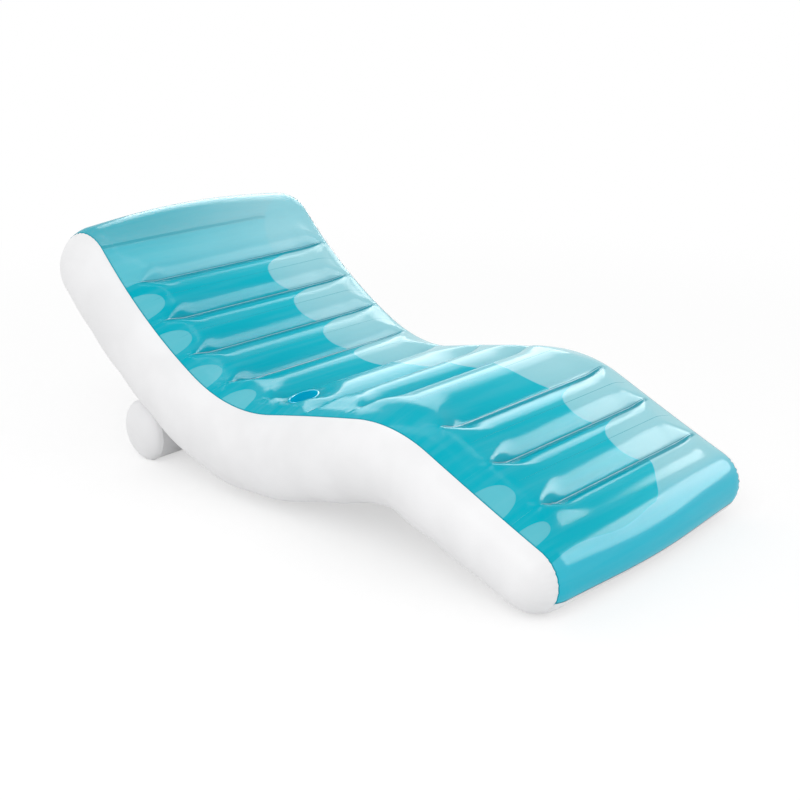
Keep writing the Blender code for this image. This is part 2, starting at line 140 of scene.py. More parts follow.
# How far gathers and scallops spread from the seam, below and above it
GATHER_SPREAD = (0.24, 0.07)
SCALLOP_SPREAD = (0.5, 0.25)

# The CAD model's skin, and how the top film is drawn in round the drink holder
CAD_CREST = 0.025
CAD_WELD_DEPTH = 0.009
SKIRT = (0.056, 0.022)
LEAST_FACING = 0.2
MOUTH_PULL = (0.006, 0.0035)

# Mesh steps and small gaps
FLAT = math.pi / 2
TINY = 1e-6
MERGE_DISTANCE = 2e-5
CURVE_STEPS = 12
UNDER_SEAM_GAP = 0.004
WALL_STEPS = 34
WALL_OVERLAP = 0.03
WALL_INSET = 0.0004
WEB_INSET = 0.0014
WEB_COLUMNS = 41
WEB_ROWS = 9

# The valves, and their seats: a point on the axis in the film's plane, the axis, and where the flat part ends and fades
VALVE_NODES = ("main_valve_base", "main_valve_stem", "main_valve_stopper",
               "roll_valve_base", "roll_valve_stem", "roll_valve_stopper")
MAIN_VALVE_SEAT = ((-0.76617, 0.07500, 0.36895), (-0.725646, 0.0, -0.688068), 0.046, 0.085)
ROLL_VALVE_SEAT = ((-0.55347, 0.37793, 0.08094), (0.0, 1.0, 0.0), 0.022, 0.045)
SEAT_REACH = 0.05
SEAT_GAP = 0.0002
VALVE_HOLE = 0.0100
VALVE_HOLE_DEPTH = 0.03
VALVE_HOLE_SIDES = 48
VALVE_HOLE_EDGE = 0.0005

# The roll: where its close rings end and the wider ones start, the pinch at its ends, and the seams of its caps
ROLL_END = 0.04
ROLL_MIDDLE = 0.05
ROLL_END_RINGS = 12
ROLL_MIDDLE_RINGS = 60
ROLL_PINCH = 0.004
# Gathers of the tube and of a cap: height as a share of the radius, spread and count, and the second wave's shares
ROLL_GATHERS = (0.0035, 0.014, 46)
CAP_GATHERS = (0.0035, 0.07, 38)
SECOND_GATHER = (0.62, 0.6, 2.1)
CAP_SEAM = ((0.992, -0.002), (1.014, 0.0006), (1.015, 0.0022), (0.990, 0.0034))
CAP_FIRST_RING = 0.975
CAP_LAST_RING = 0.002
CAP_RINGS = 36
CAP_STEP = 0.001
SHORT_EDGE = 0.0005

# The drink holder: points round it, its rim's rings as share of the rim, extra radius and height, and its rings below
HOLDER_POINTS = 73
HOLDER_RIM = ((1.0, 0.0, 0.0003), (0.9, 0.0, 0.0009), (0.0, 0.0012, 0.0011), (0.0, 0.0002, 0.0007))
SLEEVE_RINGS = 24
SLEEVE_START = 0.01
SLEEVE_BULGE = 0.012
HOLDER_FLOOR_RINGS = 14
HOLDER_FLOOR_DROP = 0.0006
HOLDER_FLOOR_DOME = 0.0035
HOLDER_FLOOR_HOLE = 0.0005

# The clouds of all plain vinyls, where they change from one tone to the other
CLOUD_EDGES = (0.3, 0.7)

# The print of the top film. Half ovals: side, reach from the seam, middle and half height in the cell, soft edge
LEFT_OVALS = (1, 0.315, 0.60, 0.62, 0.02)
RIGHT_OVALS = (-1, 0.085, 0.55, 0.29, 0.04)
OVAL_ROOT = 0.385
OVAL_POWERS = (2.3, 2.2)
RIGHT_OVALS_END = WELD_PLACES[4]
RIGHT_OVALS_RESTART = WELD_PLACES[8]
OVAL_STEP = 0.001
PRINT_START_EDGE = 0.0006
PRINT_END = 1.682
PRINT_END_EDGE = 0.0010
PRINT_WAVE = (19.0, 0.6, 0.008)
PRINT_ROUNDING = (0.02, 0.20, 0.15)
# Its tones, by distance across and along the body, with painted light to the left, painted shade round the head and
# painted sheen streaks
SHADE_ACROSS = (-0.34, 0.30)
# Painted sheen: where the ripples turn whiter, and by how much
SHEEN_STREAKS = (0.38, 0.66)
STREAK_SHEEN = 0.022
HEAD_SHADE = (0.10, -0.12)
HEAD_SHADE_SHARE = (-0.6, 0.85)
FOOT_ROUND = (1.61, 1.73)
FOOT_ROUND_SHARE = 0.9
# The band of painted fold shade and the line at a weld, by distance along the body, and the welded margins
WELD_END_FADE = 0.03
FOLD_SHADE_START = (-0.0040, -0.0028)
FOLD_SHADE_END = (0.0085, 0.0060)
FOLD_SHADE_END_RISE = 0.09
FOLD_SHADE_EDGE = 0.0030
LINE_PLACE = 0.0016
LINE_EDGE = (0.0010, 0.0005)
LINE_SHARE = 0.5
HEAD_MARGIN = (0.010, 0.009)
FOOT_MARGIN = (0.0045, 0.0040)
SIDE_MARGIN = (0.3665, 0.3675)
MARGIN_SHARE = 0.92
# How solid the top film is: printed, and how much thinner where clear, near the drink holder and at the head
PRINT_ALPHA = 0.95
CLEAR_THINNER = 0.29
HOLDER_THINNER = 0.34
HOLDER_NEAR = (0.085, 0.045)
HEAD_THINNER = 0.24
GRAZING_BLEND = 0.35
GRAZING_THICKER = 0.30
MARGIN_ALPHA = 0.94

# The camera at the photograph's place, and the studio
CAMERA_PLACE = (2.2472, -2.3738, 1.3298)
CAMERA_RIGHT = (0.7379, 0.67488, -0.00645)
CAMERA_UP = (-0.21529, 0.24443, 0.94546)
CAMERA_FORWARD = (-0.63965, 0.69627, -0.32566)
CAMERA_LENS = 59.84
CAMERA_CLIP = (0.05, 60.0)
SENSOR_WIDTH = 36.0
WORLD_LIGHT = 0.845
FLOOR_RADIUS = 14.0
FLOOR_SIDES = 96
FLOOR_NEAR = (3.4, 1.5)
FLOOR_SHADOW = 0.45
FLOOR_GAIN = 1.08
FLOOR_TONES = (0.80, 0.82)
# Lamps: place, target, size, power, and whether they show in reflections alone
LAMPS = (
    ("key_softbox", (1.2, -2.6, 3.0), (0.0, 0.0, 0.2), (2.2, 2.2), 26.0, False),
    ("top_strip", (-0.3, 0.6, 3.1), (0.0, 0.0, 0.2), (2.2, 0.45), 22.0, True),
    ("back_card", (-2.6, 2.8, 1.95), (0.0, 0.0, 0.3), (3.2, 2.0), 105.0, True),
    ("far_card", (2.1, 2.5, 1.5), (-0.3, 0.0, 0.4), (2.0, 1.3), 200.0, True),
)
WHITE = (1.0, 1.0, 1.0, 1.0)
BLACK = (0.0, 0.0, 0.0, 1.0)


class PoolChairBody(bpy.types.PropertyGroup):
    """Sizes of the inflated body."""

    core_half_width: FloatProperty(
        name="Core half width", description="Half of the flat middle's width", default=0.3325, unit="LENGTH")
    side_bulge: FloatProperty(
        name="Side bulge", description="How far the side walls stand out", default=0.096, unit="LENGTH")
    head_depth: FloatProperty(
        name="Head depth", description="Half of the body's thickness at the head", default=0.113, unit="LENGTH")
    foot_depth: FloatProperty(
        name="Foot depth", description="Half of the body's thickness at the foot", default=0.083, unit="LENGTH")
    seat_swell: FloatProperty(
        name="Seat swell", description="Extra half thickness at the seat", default=0.0177, unit="LENGTH")
    swell_skew: FloatProperty(
        name="Swell skew", description="How far the swell leans to the foot", default=1.16)
    crest: FloatProperty(
        name="Cell crest", description="Rise of a cell over the plain thickness", default=0.020, unit="LENGTH")
    weld_depth: FloatProperty(
        name="Weld depth", description="How far a weld lies below the plain thickness", default=0.009, unit="LENGTH")
    crest_edge: FloatProperty(
        name="Crest edge", description="Distance from the middle where the crests begin to fall", default=0.262,
        unit="LENGTH")
    weld_fade: FloatProperty(
        name="Weld fade", description="Length over which a weld's pull ends", default=0.085, unit="LENGTH")
    weld_narrowing: FloatProperty(
        name="Weld narrowing", description="Length over which a valley narrows to its tip", default=0.13,
        unit="LENGTH")
    tip_width: FloatProperty(
        name="Tip width", description="Width of a valley at its tip, as a share of the whole", default=0.28,
        subtype="FACTOR", min=0.0, max=1.0)
    pucker: FloatProperty(
        name="Pucker height", description="Height of the folds that run on from a weld's end", default=0.0007,
        unit="LENGTH")
    gather: FloatProperty(
        name="Gather height", description="Height of the gathers along the side seams", default=0.0011,
        unit="LENGTH")
    scallop: FloatProperty(
        name="Scallop height", description="Swell of the lower side seam between two inner webs", default=0.0058,
        unit="LENGTH")
    film: FloatProperty(
        name="Film", description="Thickness of the film", default=0.0005, unit="LENGTH")


class PoolChairFittings(bpy.types.PropertyGroup):
    """Sizes of the support roll and the drink holder."""

    roll_place: FloatProperty(
        name="Roll place", description="Where the roll's middle stands along the chair",
        default=sum(corner[0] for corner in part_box("roll_tube")) / 2, unit="LENGTH")
    roll_half_width: FloatProperty(
        name="Roll half width", description="Half of the tube's length", default=0.344, unit="LENGTH")
    roll_short_radius: FloatProperty(
        name="Roll short radius", description="Smaller radius of the oval roll", default=0.0740, unit="LENGTH")
    roll_long_radius: FloatProperty(
        name="Roll long radius", description="Larger radius of the oval roll", default=0.0822, unit="LENGTH")
    roll_lean: FloatProperty(
        name="Roll lean", description="Turn of the oval section", default=math.radians(18.0), subtype="ANGLE")
    cap_dome: FloatProperty(
        name="Cap dome", description="How far an end cap stands out", default=0.0355, unit="LENGTH")
    roll_sides: IntProperty(
        name="Roll sides", description="Points round the roll", default=144)
    cup_share: FloatProperty(
        name="Drink holder place", description="Share of the middle line", default=0.503)
    cup_side: FloatProperty(
        name="Drink holder side", description="Distance from the middle, right is negative", default=-0.235,
        unit="LENGTH")
    cup_top_radius: FloatProperty(
        name="Drink holder mouth", description="Radius at the mouth", default=0.039, unit="LENGTH")
    cup_floor_radius: FloatProperty(
        name="Drink holder floor", description="Radius at the floor", default=0.0335, unit="LENGTH")
    cup_depth: FloatProperty(
        name="Drink holder depth", description="Depth of the pocket", default=0.085, unit="LENGTH")
    cup_sink: FloatProperty(
        name="Drink holder sink", description="How far the mouth lies below the plain film", default=0.0085,
        unit="LENGTH")
    cup_lean: FloatVectorProperty(
        name="Drink holder lean", description="Lean of the mouth's axis to the foot and to the left", size=2,
        default=(-0.103, -0.125))
    cup_rim: FloatProperty(
        name="Drink holder rim", description="Width of the welded rim", default=0.0048, unit="LENGTH")


class PoolChairColours(bpy.types.PropertyGroup):
    """Colours of the films and the stage."""

    deep: FloatVectorProperty(
        name="Deep teal", description="Printed part of the top film, at the right side", subtype="COLOR",
        default=(0.0, 0.44, 0.555))
    # Painted light: the left tones are lighter, standing in for the light that falls on that side.
    deep_lit_left: FloatVectorProperty(
        name="Deep teal, left", description="Printed part of the top film, at the left side", subtype="COLOR",
        default=(0.01, 0.53, 0.65))
    pale: FloatVectorProperty(
        name="Pale teal", description="Clear part of the top film, at the right side", subtype="COLOR",
        default=(0.14, 0.64, 0.74))
    # Painted light: lighter on the left, standing in for the light that falls on that side.
    pale_lit_left: FloatVectorProperty(
        name="Pale teal, left", description="Clear part of the top film, at the left side", subtype="COLOR",
        default=(0.42, 0.80, 0.87))
    # Painted shade: the film round the head is deeper, standing in for the film seen edge-on and through its far layer.
    head_end_shade: FloatVectorProperty(
        name="Teal of the head", description="Clear film where it winds round the head", subtype="COLOR",
        default=(0.01, 0.50, 0.61))
    foot_end: FloatVectorProperty(
        name="Teal of the foot", description="Clear film where it winds round the foot", subtype="COLOR",
        default=(0.03, 0.62, 0.80))
    # Also the colour of the painted fold shade on the foot side of each weld.
    margin: FloatVectorProperty(
        name="Margin", description="Welded edge of the top film", subtype="COLOR", default=(0.0, 0.33, 0.43))
    weld: FloatVectorProperty(
        name="Weld line", description="Pressed lines beside a weld", subtype="COLOR", default=(0.62, 0.90, 0.95))
    white: FloatVectorProperty(
        name="White film", description="Side walls, underside and roll", subtype="COLOR",
        default=(0.925, 0.925, 0.935))
    inner: FloatVectorProperty(
        name="Inner side", description="Inner side of the white films, tinted by the light through the top film",
        subtype="COLOR", default=(0.22, 0.76, 0.85))
    blue: FloatVectorProperty(
        name="Clear blue", description="Drink holder", subtype="COLOR", default=(0.0, 0.50, 0.70))
    clear: FloatVectorProperty(
        name="Clear valve", description="Valves", subtype="COLOR", default=(0.78, 0.84, 0.87))


class PoolChairSettings(bpy.types.PropertyGroup):
    """All settings of the pool chair."""

    body: PointerProperty(type=PoolChairBody, name="Body", description="Sizes of the inflated body")
    fittings: PointerProperty(type=PoolChairFittings, name="Fittings", description="Sizes of roll and drink holder")
    colours: PointerProperty(type=PoolChairColours, name="Colours", description="Colours of the films")


def settings():
    return bpy.context.scene.pool_chair


def smooth(share):
    share = np.clip(share, 0.0, 1.0)
    return share * share * (3 - 2 * share)


def spine(along):
    """X, Z and slope of the middle line at lengths from the head end."""
    along = np.asarray(along, float)
    x = np.full(along.shape, SPINE_START[0])
    z = np.full(along.shape, SPINE_START[1])
    slope = np.full(along.shape, RUNS[0][1])
    left = np.clip(along, 0.0, SPINE_LENGTH)
    for run, start, end in RUNS:
        step = np.clip(left, 0.0, run)
        turned = start + (end - start) * step / run
        if abs(end - start) < TINY:
            x += step * math.cos(start)
            z += step * math.sin(start)
        else:
            radius = run / (end - start)
            x += radius * (np.sin(turned) - math.sin(start))
            z += radius * (math.cos(start) - np.cos(turned))
        slope = np.where(left > 0, turned, slope)
        left = left - step
    return x, z, slope


def depth(along):
    """Half of the body's plain thickness."""
    body = settings().body
    share = np.clip(np.asarray(along, float) / SPINE_LENGTH, 0.0, 1.0)
    swell = np.sin(np.pi * share ** body.swell_skew) ** 2
    return body.head_depth + (body.foot_depth - body.head_depth) * share + body.seat_swell * swell


def crest(along):
    """Height of the crests over the plain thickness, which runs out at both ends."""
    at_head = smooth(along / (CREST_RUN_OUT * CELL_MARKS[1]))
    at_foot = smooth((SPINE_LENGTH - along) / (CREST_RUN_OUT * (CELL_MARKS[-1] - CELL_MARKS[-2])))
    return settings().body.crest * at_head * at_foot


def cell_share(along):
    """How far through its cell a length lies, from 0 at one weld to 1 at the next."""
    cell = np.clip(np.searchsorted(CELL_MARKS, along, side="right") - 1, 0, len(CELL_MARKS) - 2)
    return (along - CELL_MARKS[cell]) / (CELL_MARKS[cell + 1] - CELL_MARKS[cell])


def end_swell(along, side, turn, y):
    """Extra depth by row and column in the middle of the width, where the skin winds round an end."""
    body = settings().body
    middle = np.cos(np.clip(np.abs(y) / (body.core_half_width + body.side_bulge), 0.0, 1.0) * np.pi / 2)
    lift = np.zeros((len(along), len(y)))
    for at_end, before, (height, place, spread, drawn, power) in (
        (along <= SPINE_LENGTH / 2, along / float(depth(0.0)), HEAD_SWELL),
        (along > SPINE_LENGTH / 2, (SPINE_LENGTH - along) / float(depth(SPINE_LENGTH)), FOOT_SWELL),
    ):
        wound = turn - before if side > 0 else np.pi - turn + before
        away = np.clip(np.abs(wound - place) / spread, 0.0, 1.0)
        swell = height * np.cos(away * np.pi / 2) ** 2 * at_end
        lift += swell[:, None] * (middle ** power - drawn)[None, :]
    return lift


def weld_pull(along, y, over):
    """How far each point is held in by the nearest weld, from 0 on a crest to 1 in a weld, by row and column."""
    body = settings().body
    pull = np.zeros((len(along), len(y)))
    for number, (_, right, left) in enumerate(WELDS):
        place = WELD_PLACES[number]
        before = (place - CELL_MARKS[number]) * (HEAD_VALLEY if number == 0 else 0.5)
        after = (CELL_MARKS[number + 2] - place) * (FOOT_VALLEY if number == len(WELDS) - 1 else 0.5)
        offset = along - place
        half = np.where(offset < 0, before, after)
        reach = np.where(y < 0, right, left) if over else np.full(len(y), UNDER_WELD_REACH)
        inside = reach - np.abs(y)
        hold = np.sin(np.clip(inside / body.weld_fade, 0.0, 1.0) * np.pi / 2)
        width = body.tip_width + (1 - body.tip_width) * smooth(inside / body.weld_narrowing)
        away = np.clip((np.abs(offset) - WELD_HALF_WIDTH) / half, 0.0, None)[:, None] / width[None, :]
        rise = np.sin(np.clip(away, 0.0, 1.0) * np.pi / 2) ** VALLEY_POWER
        pull = np.maximum(pull, hold[None, :] * (1 - rise))
    return pull


def tip_folds(along, y):
    """A few fine folds that run on from each end of each weld to the side seam."""
    height = np.zeros((len(along), len(y)))
    rows, columns = np.meshgrid(along, y, indexing="ij")
    for number, (_, right, left) in enumerate(WELDS):
        for sign, reach in ((-1, right), (1, left)):
            across = (columns - sign * reach) * sign + FOLD_START
            lengthwise = rows - WELD_PLACES[number]
            away = np.hypot(across, lengthwise)
            heading = np.arctan2(lengthwise, across)
            fan = np.cos(heading * FOLD_COUNT + number * FOLD_TURN + sign)
            outward = smooth((FOLD_WIDEST - np.abs(heading)) / FOLD_FADE)
            height += fan * outward * smooth(away / FOLD_START) * np.exp(-(away / FOLD_REACH) ** 2)
    return settings().body.pucker * height


def gather_strength(distance, turn, kind):
    """Strength of the gathers at a distance from an end and a turn round it."""
    reach, least, full, most = kind
    return np.exp(-(distance / reach) ** 2) * (least + (1 - least) * smooth(turn / full)) * most


def beside_seam(away, spread):
    """1 at the seam and less on both sides of it, by angle."""
    below, above = spread
    return np.exp(-np.where(away < 0, away / below, away / above) ** 2)


def seam_folds(along, side, turn, angle):
    """Gathers across the side seams, strongest round the ends, and the swell of the lower seam between the webs."""
    body = settings().body
    at_foot = along > SPINE_LENGTH / 2
    to_foot = SPINE_LENGTH - along
    run = along + np.where(at_foot, 1, -1) * turn * depth(along)
    length, wander, rate = GATHERS
    short_length, short_share, short_shift = SHORT_GATHERS
    wave = (np.sin(run * 2 * np.pi / length + wander * np.sin(run * rate))
            + short_share * np.sin(run * 2 * np.pi / short_length + short_shift))
    if side > 0:
        strength = np.where(at_foot, gather_strength(to_foot, turn, FOOT_GATHERS),
                            gather_strength(along, turn, HEAD_GATHERS))
        swell = np.zeros(len(along))
    else:
        round_foot = UNDER_GATHERS * smooth((turn - UNDER_GATHER_TURN) / UNDER_GATHER_FADE)
        strength = np.where(along <= 0, UNDER_GATHERS, np.where(to_foot <= 0, round_foot, 0.0))
        inner = smooth(along / SCALLOP_RUN_OUT) * smooth(to_foot / SCALLOP_RUN_OUT)
        swell = body.scallop * (np.abs(np.sin(np.pi * cell_share(along))) - SCALLOP_REST) * inner
    away = angle - SEAM_ANGLE
    gathers = (body.gather * strength * wave)[:, None] * beside_seam(away, GATHER_SPREAD)[None, :]
    return gathers + swell[:, None] * beside_seam(away, SCALLOP_SPREAD)[None, :]


def crest_share(y):
    """How much of a crest's height is left at a distance from the middle."""
    body = settings().body
    edge = body.core_half_width + body.side_bulge * math.cos(SEAM_ANGLE)
    share = (np.abs(y) - body.crest_edge) / (edge - body.crest_edge)
    return np.cos(np.clip(share, 0.0, 1.0) * np.pi / 2) ** 2


def skin(along, side, turn, y, angle, inset=0.0, relief=True):
    """Points of the body's skin by row and column: turn winds round an end, angle is 90 degrees on the flat middle."""
    body = settings().body
    along, turn, y, angle = (np.asarray(a, float) for a in (along, turn, y, angle))
    x, z, slope = spine(along)
    facing = slope + side * np.pi / 2
    at_foot = along > SPINE_LENGTH / 2
    facing = facing + np.where(at_foot == (side > 0), -turn, turn)
    places = np.where(angle < FLAT - TINY,
                      np.sign(y) * (body.core_half_width + (body.side_bulge - inset) * np.cos(angle)), y)
    lift = (depth(along) - inset)[:, None] + end_swell(along, side, turn, y)
    if relief:
        pull = weld_pull(along, y, side > 0)
        free = crest(along)[:, None] * crest_share(y)[None, :]
        lift = lift + free * (1 - pull) - body.weld_depth * pull
        if side > 0:
            lift = lift + (tip_folds(along, y) * np.cos(np.clip(turn, 0, np.pi / 2))[:, None]
                           * smooth((angle - SEAM_ANGLE) / FOLD_SEAM_FADE)[None, :])
            lift = lift + cup_dip(along, y, (x, z), (np.cos(facing), np.sin(facing)), lift, inset)
    folds = seam_folds(along, side, turn, angle)
    lift = (lift + folds) * np.sin(angle)[None, :]
    places = places[None, :] + folds * (np.sign(y) * np.cos(angle))[None, :]
    out_x, out_z = np.cos(facing)[:, None], np.sin(facing)[:, None]
    points = np.empty(lift.shape + (3,))
    points[..., 0] = x[:, None] + out_x * lift
    points[..., 1] = places
    points[..., 2] = np.maximum(z[:, None] + out_z * lift, FLOOR_GAP + inset)
    return points


def top_point(along, y):
    """One point of the top film's flat middle."""
    return skin([along], 1, [0.0], [y], [FLAT])[0, 0]


def cup_mouth():
    """Centre of the drink holder's mouth and the direction in which it opens."""
    fittings = settings().fittings
    along = fittings.cup_share * SPINE_LENGTH
    x, z, slope = (float(value) for value in spine(along))
    cad_lift = float(depth(along)) + CAD_CREST * math.sin(math.pi * cell_share(along)) - CAD_WELD_DEPTH
    lift = cad_lift - fittings.cup_sink
    centre = np.array([x - math.sin(slope) * lift, fittings.cup_side, z + math.cos(slope) * lift])
    opening = np.array([*fittings.cup_lean, 1.0])
    return centre, opening / np.linalg.norm(opening)


def cup_dip(along, y, base, out, lift, inset):
    """Draws the top film in to the level mouth of the drink holder."""
    fittings = settings().fittings
    rows, columns = np.meshgrid(along - fittings.cup_share * SPINE_LENGTH, y - fittings.cup_side, indexing="ij")
    from_centre = np.hypot(rows, columns)
    skirt = SKIRT[0] + SKIRT[1] * rows / np.maximum(from_centre, TINY)
    hold = 1 - smooth(np.clip(from_centre - fittings.cup_top_radius - fittings.cup_rim, 0.0, None) / skirt)
    centre, opening = cup_mouth()
    rise = ((centre[0] - base[0]) * opening[0] + (centre[2] - base[1]) * opening[2])[:, None]
    rise = rise + (centre[1] - y)[None, :] * opening[1]
    facing = np.maximum(out[0] * opening[0] + out[1] * opening[2], LEAST_FACING)[:, None]
    return (rise / facing - inset - lift) * hold


def rows_between(start, end, near_start, near_end, spacing):
    """Lengths from start to end, closer together beside a weld."""
    offsets = np.array(WELD_ROW_OFFSETS)
    low = start + offsets if near_start else np.array([start])
    high = end - offsets if near_end else np.array([end])
    inner = np.linspace(low.max(), high.min(), max(2, int(math.ceil((high.min() - low.max()) / spacing)) + 1))
    return np.unique(np.round(np.concatenate((low, inner, high)), ROW_DIGITS))


def spine_rows():
    rows = [rows_between(0.0, CELL_MARKS[1], False, True, ROW_SPACING)]
    for start, end in zip(CELL_MARKS[1:-2], CELL_MARKS[2:-1]):
        rows.append(rows_between(start, end, True, True, ROW_SPACING))
    rows.append(rows_between(CELL_MARKS[-2], SPINE_LENGTH, True, False, ROW_SPACING))
    return np.unique(np.round(np.concatenate(rows), ROW_DIGITS))


def sheet_columns():
    """Section of a sheet from the right seam to the left seam, as y and angle."""
    body = settings().body
    middle = np.linspace(0.0, EDGE_START, int(EDGE_START / MIDDLE_SPACING) + 1)
    edge = np.linspace(EDGE_START, body.core_half_width,
                       int((body.core_half_width - EDGE_START) / EDGE_SPACING) + 2)[1:]
    flat = np.concatenate((middle, edge))
    angles = np.linspace(FLAT, SEAM_ANGLE, CURVE_STEPS)[1:]
    y = np.concatenate((flat, body.core_half_width + body.side_bulge * np.cos(angles)))
    angle = np.concatenate((np.full(len(flat), FLAT), angles))
    return np.concatenate((-y[:0:-1], y)), np.concatenate((angle[:0:-1], angle))


def turned_rows(seam_turn, deep):
    count = max(3, int(seam_turn * deep / END_ROW_SPACING))
    return np.linspace(0.0, seam_turn, count + 1)


def select_only(*things):
    bpy.ops.object.select_all(action="DESELECT")
    for thing in things:
        thing.select_set(True)
    bpy.context.view_layer.objects.active = things[-1]


def add_object(name, data):
    thing = bpy.data.objects.new(name, data)
    bpy.context.scene.collection.objects.link(thing)
    return thing


def grid_object(name, points, values=None, uv=None, closed_rows=False, keep=None, flip=False):
    """A mesh through a grid of points, with its float attributes and its UV map."""
    rows, columns = points.shape[:2]
    index = np.arange(rows * columns).reshape(rows, columns)
    nearer = index if closed_rows else index[:-1]
    after = np.roll(index, -1, axis=0) if closed_rows else index[1:]
    quads = np.stack((nearer[:, :-1], nearer[:, 1:], after[:, 1:], after[:, :-1]), axis=-1)
    if keep is not None:
        quads = quads[keep]
    quads = quads.reshape(-1, 4)
    if flip:
        quads = quads[:, ::-1]
    mesh = bpy.data.meshes.new(name)
    mesh.from_pydata(points.reshape(-1, 3).tolist(), [], quads.tolist())
    for label, field in (values or {}).items():
        attribute = mesh.attributes.new(label, "FLOAT", "POINT")
        attribute.data.foreach_set("value", np.asarray(field, np.float32).ravel())
    if uv is not None:
        layer = mesh.uv_layers.new(name="film")
        corners = np.zeros(len(mesh.loops), np.int32)
        mesh.loops.foreach_get("vertex_index", corners)
        layer.data.foreach_set("uv", uv.reshape(-1, 2)[corners].astype(np.float32).ravel())
    thing = add_object(name, mesh)
    shape = bmesh.new()
    shape.from_mesh(mesh)
    bmesh.ops.remove_doubles(shape, verts=shape.verts, dist=MERGE_DISTANCE)
    bmesh.ops.delete(shape, geom=[v for v in shape.verts if not v.link_faces], context="VERTS")
    shape.to_mesh(mesh)
    shape.free()
    mesh.shade_smooth()
    return thing


def apply_modifiers(thing):
    select_only(thing)
    for modifier in list(thing.modifiers):
        bpy.ops.object.modifier_apply(modifier=modifier.name)


def flatten_seat(thing, seat):
    """Draws a film to the flat seat of its valve."""
    place, axis, flat, faded = np.array(seat[0]), np.array(seat[1]), *seat[2:]
    mesh = thing.data
    points = np.zeros(len(mesh.vertices) * 3)
    mesh.vertices.foreach_get("co", points)
    points = points.reshape(-1, 3)
    out = (points - place) @ axis
    away = np.linalg.norm(points - place - out[:, None] * axis, axis=1)
    hold = (1 - smooth((away - flat) / (faded - flat))) * (np.abs(out) < SEAT_REACH)
    points -= ((out + SEAT_GAP) * hold)[:, None] * axis
    mesh.vertices.foreach_set("co", points.ravel())
    mesh.update()


def bore_seat(thing, seat):
    """Cuts the hole for the stem of a valve through its film."""
    place, axis = Vector(seat[0]), Vector(seat[1]).normalized()
    select_only(thing)
    bpy.ops.mesh.primitive_cylinder_add(vertices=VALVE_HOLE_SIDES, radius=VALVE_HOLE, depth=VALVE_HOLE_DEPTH,
                                        location=place, rotation=axis.to_track_quat("Z", "Y").to_euler())
    cutter = bpy.context.active_object
    modifier = thing.modifiers.new("hole", "BOOLEAN")
    modifier.operation, modifier.solver, modifier.object = "DIFFERENCE", "EXACT", cutter
    apply_modifiers(thing)
    bpy.data.objects.remove(cutter, do_unlink=True)
    shape = bmesh.new()
    shape.from_mesh(thing.data)
    for edge in shape.edges:
        middle = (edge.verts[0].co + edge.verts[1].co) / 2 - place
        out = middle.dot(axis)
        if abs(out) < VALVE_HOLE_DEPTH / 2 and (middle - axis * out).length < VALVE_HOLE + VALVE_HOLE_EDGE:
            edge.smooth = False
    shape.to_mesh(thing.data)
    shape.free()


def finish_film(thing, materials, stands_for, offset=-1.0):
    """Gives a surface the film's thickness, its materials and its body, and hides the CAD node it stands for."""
    for material in materials:
        thing.data.materials.append(material)
    solidify = thing.modifiers.new("film", "SOLIDIFY")
    solidify.thickness = settings().body.film
    solidify.offset = offset
    solidify.use_even_offset = True
    solidify.material_offset = len(materials) - 1
    apply_modifiers(thing)
    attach(thing, FLOAT_BODY)
    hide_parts(stands_for)


# Materials

def new_material(name):
    """A new material, its node tree and its main shader."""
    material = bpy.data.materials.new(name)
    material.use_nodes = True
    return material, material.node_tree, material.node_tree.nodes["Principled BSDF"]


def fill(tree, node, sockets):
    """Links or sets the inputs of a node, by name or number."""
    for name, value in sockets.items():
        if hasattr(value, "is_output"):
            tree.links.new(value, node.inputs[name])
        else:
            node.inputs[name].default_value = value
    return node


def add_node(tree, kind, sockets=None, **values):
    node = tree.nodes.new(kind)
    for name, value in values.items():
        setattr(node, name, value)
    return fill(tree, node, sockets or {})


def maths(tree, operation, *inputs, clamp=False):
    return add_node(tree, "ShaderNodeMath", dict(enumerate(inputs)), operation=operation, use_clamp=clamp).outputs[0]


def mixed(tree, factor, first, second):
    return add_node(tree, "ShaderNodeMix", {0: factor, 6: first, 7: second}, data_type="RGBA").outputs[2]


def attribute(tree, name):
    return add_node(tree, "ShaderNodeAttribute", attribute_name=name).outputs["Fac"]


def edge_step(tree, value, start, end):
    """0 at start and 1 at end, with a smooth edge."""
    return add_node(tree, "ShaderNodeMapRange", {"Value": value, "From Min": start, "From Max": end},
                    interpolation_type="SMOOTHSTEP", clamp=True).outputs[0]


def colour4(colour):
    return (*colour, 1.0)


def ripple_group():
    """Long fine ripples in a stretched film, with their own mask for the colour."""
    found = bpy.data.node_groups.get("film_ripple")
    if found:
        return found
    group = bpy.data.node_groups.new("film_ripple", "ShaderNodeTree")
    group.interface.new_socket("Vector", in_out="INPUT", socket_type="NodeSocketVector")
    for name, way in (("Lengthwise", "INPUT"), ("Crosswise", "INPUT"), ("Detail", "INPUT"),
                      ("Height", "OUTPUT"), ("Cloud", "OUTPUT")):
        group.interface.new_socket(name, in_out=way, socket_type="NodeSocketFloat")
    given = add_node(group, "NodeGroupInput").outputs
    scale = add_node(group, "ShaderNodeCombineXYZ",
                     {0: given["Lengthwise"], 1: given["Crosswise"], 2: given["Crosswise"]})
    stretch = add_node(group, "ShaderNodeVectorMath", {0: given["Vector"], 1: scale.outputs[0]}, operation="MULTIPLY")
    noise = add_node(group, "ShaderNodeTexNoise", {
        "Vector": stretch.outputs[0], "Detail": given["Detail"], "Scale": 1.0, "Roughness": 0.45})
    cloud = add_node(group, "ShaderNodeTexNoise", {"Vector": given["Vector"], "Scale": 9.0, "Detail": 2.0})
    add_node(group, "NodeGroupOutput", {"Height": noise.outputs[0], "Cloud": cloud.outputs[0]})
    return group


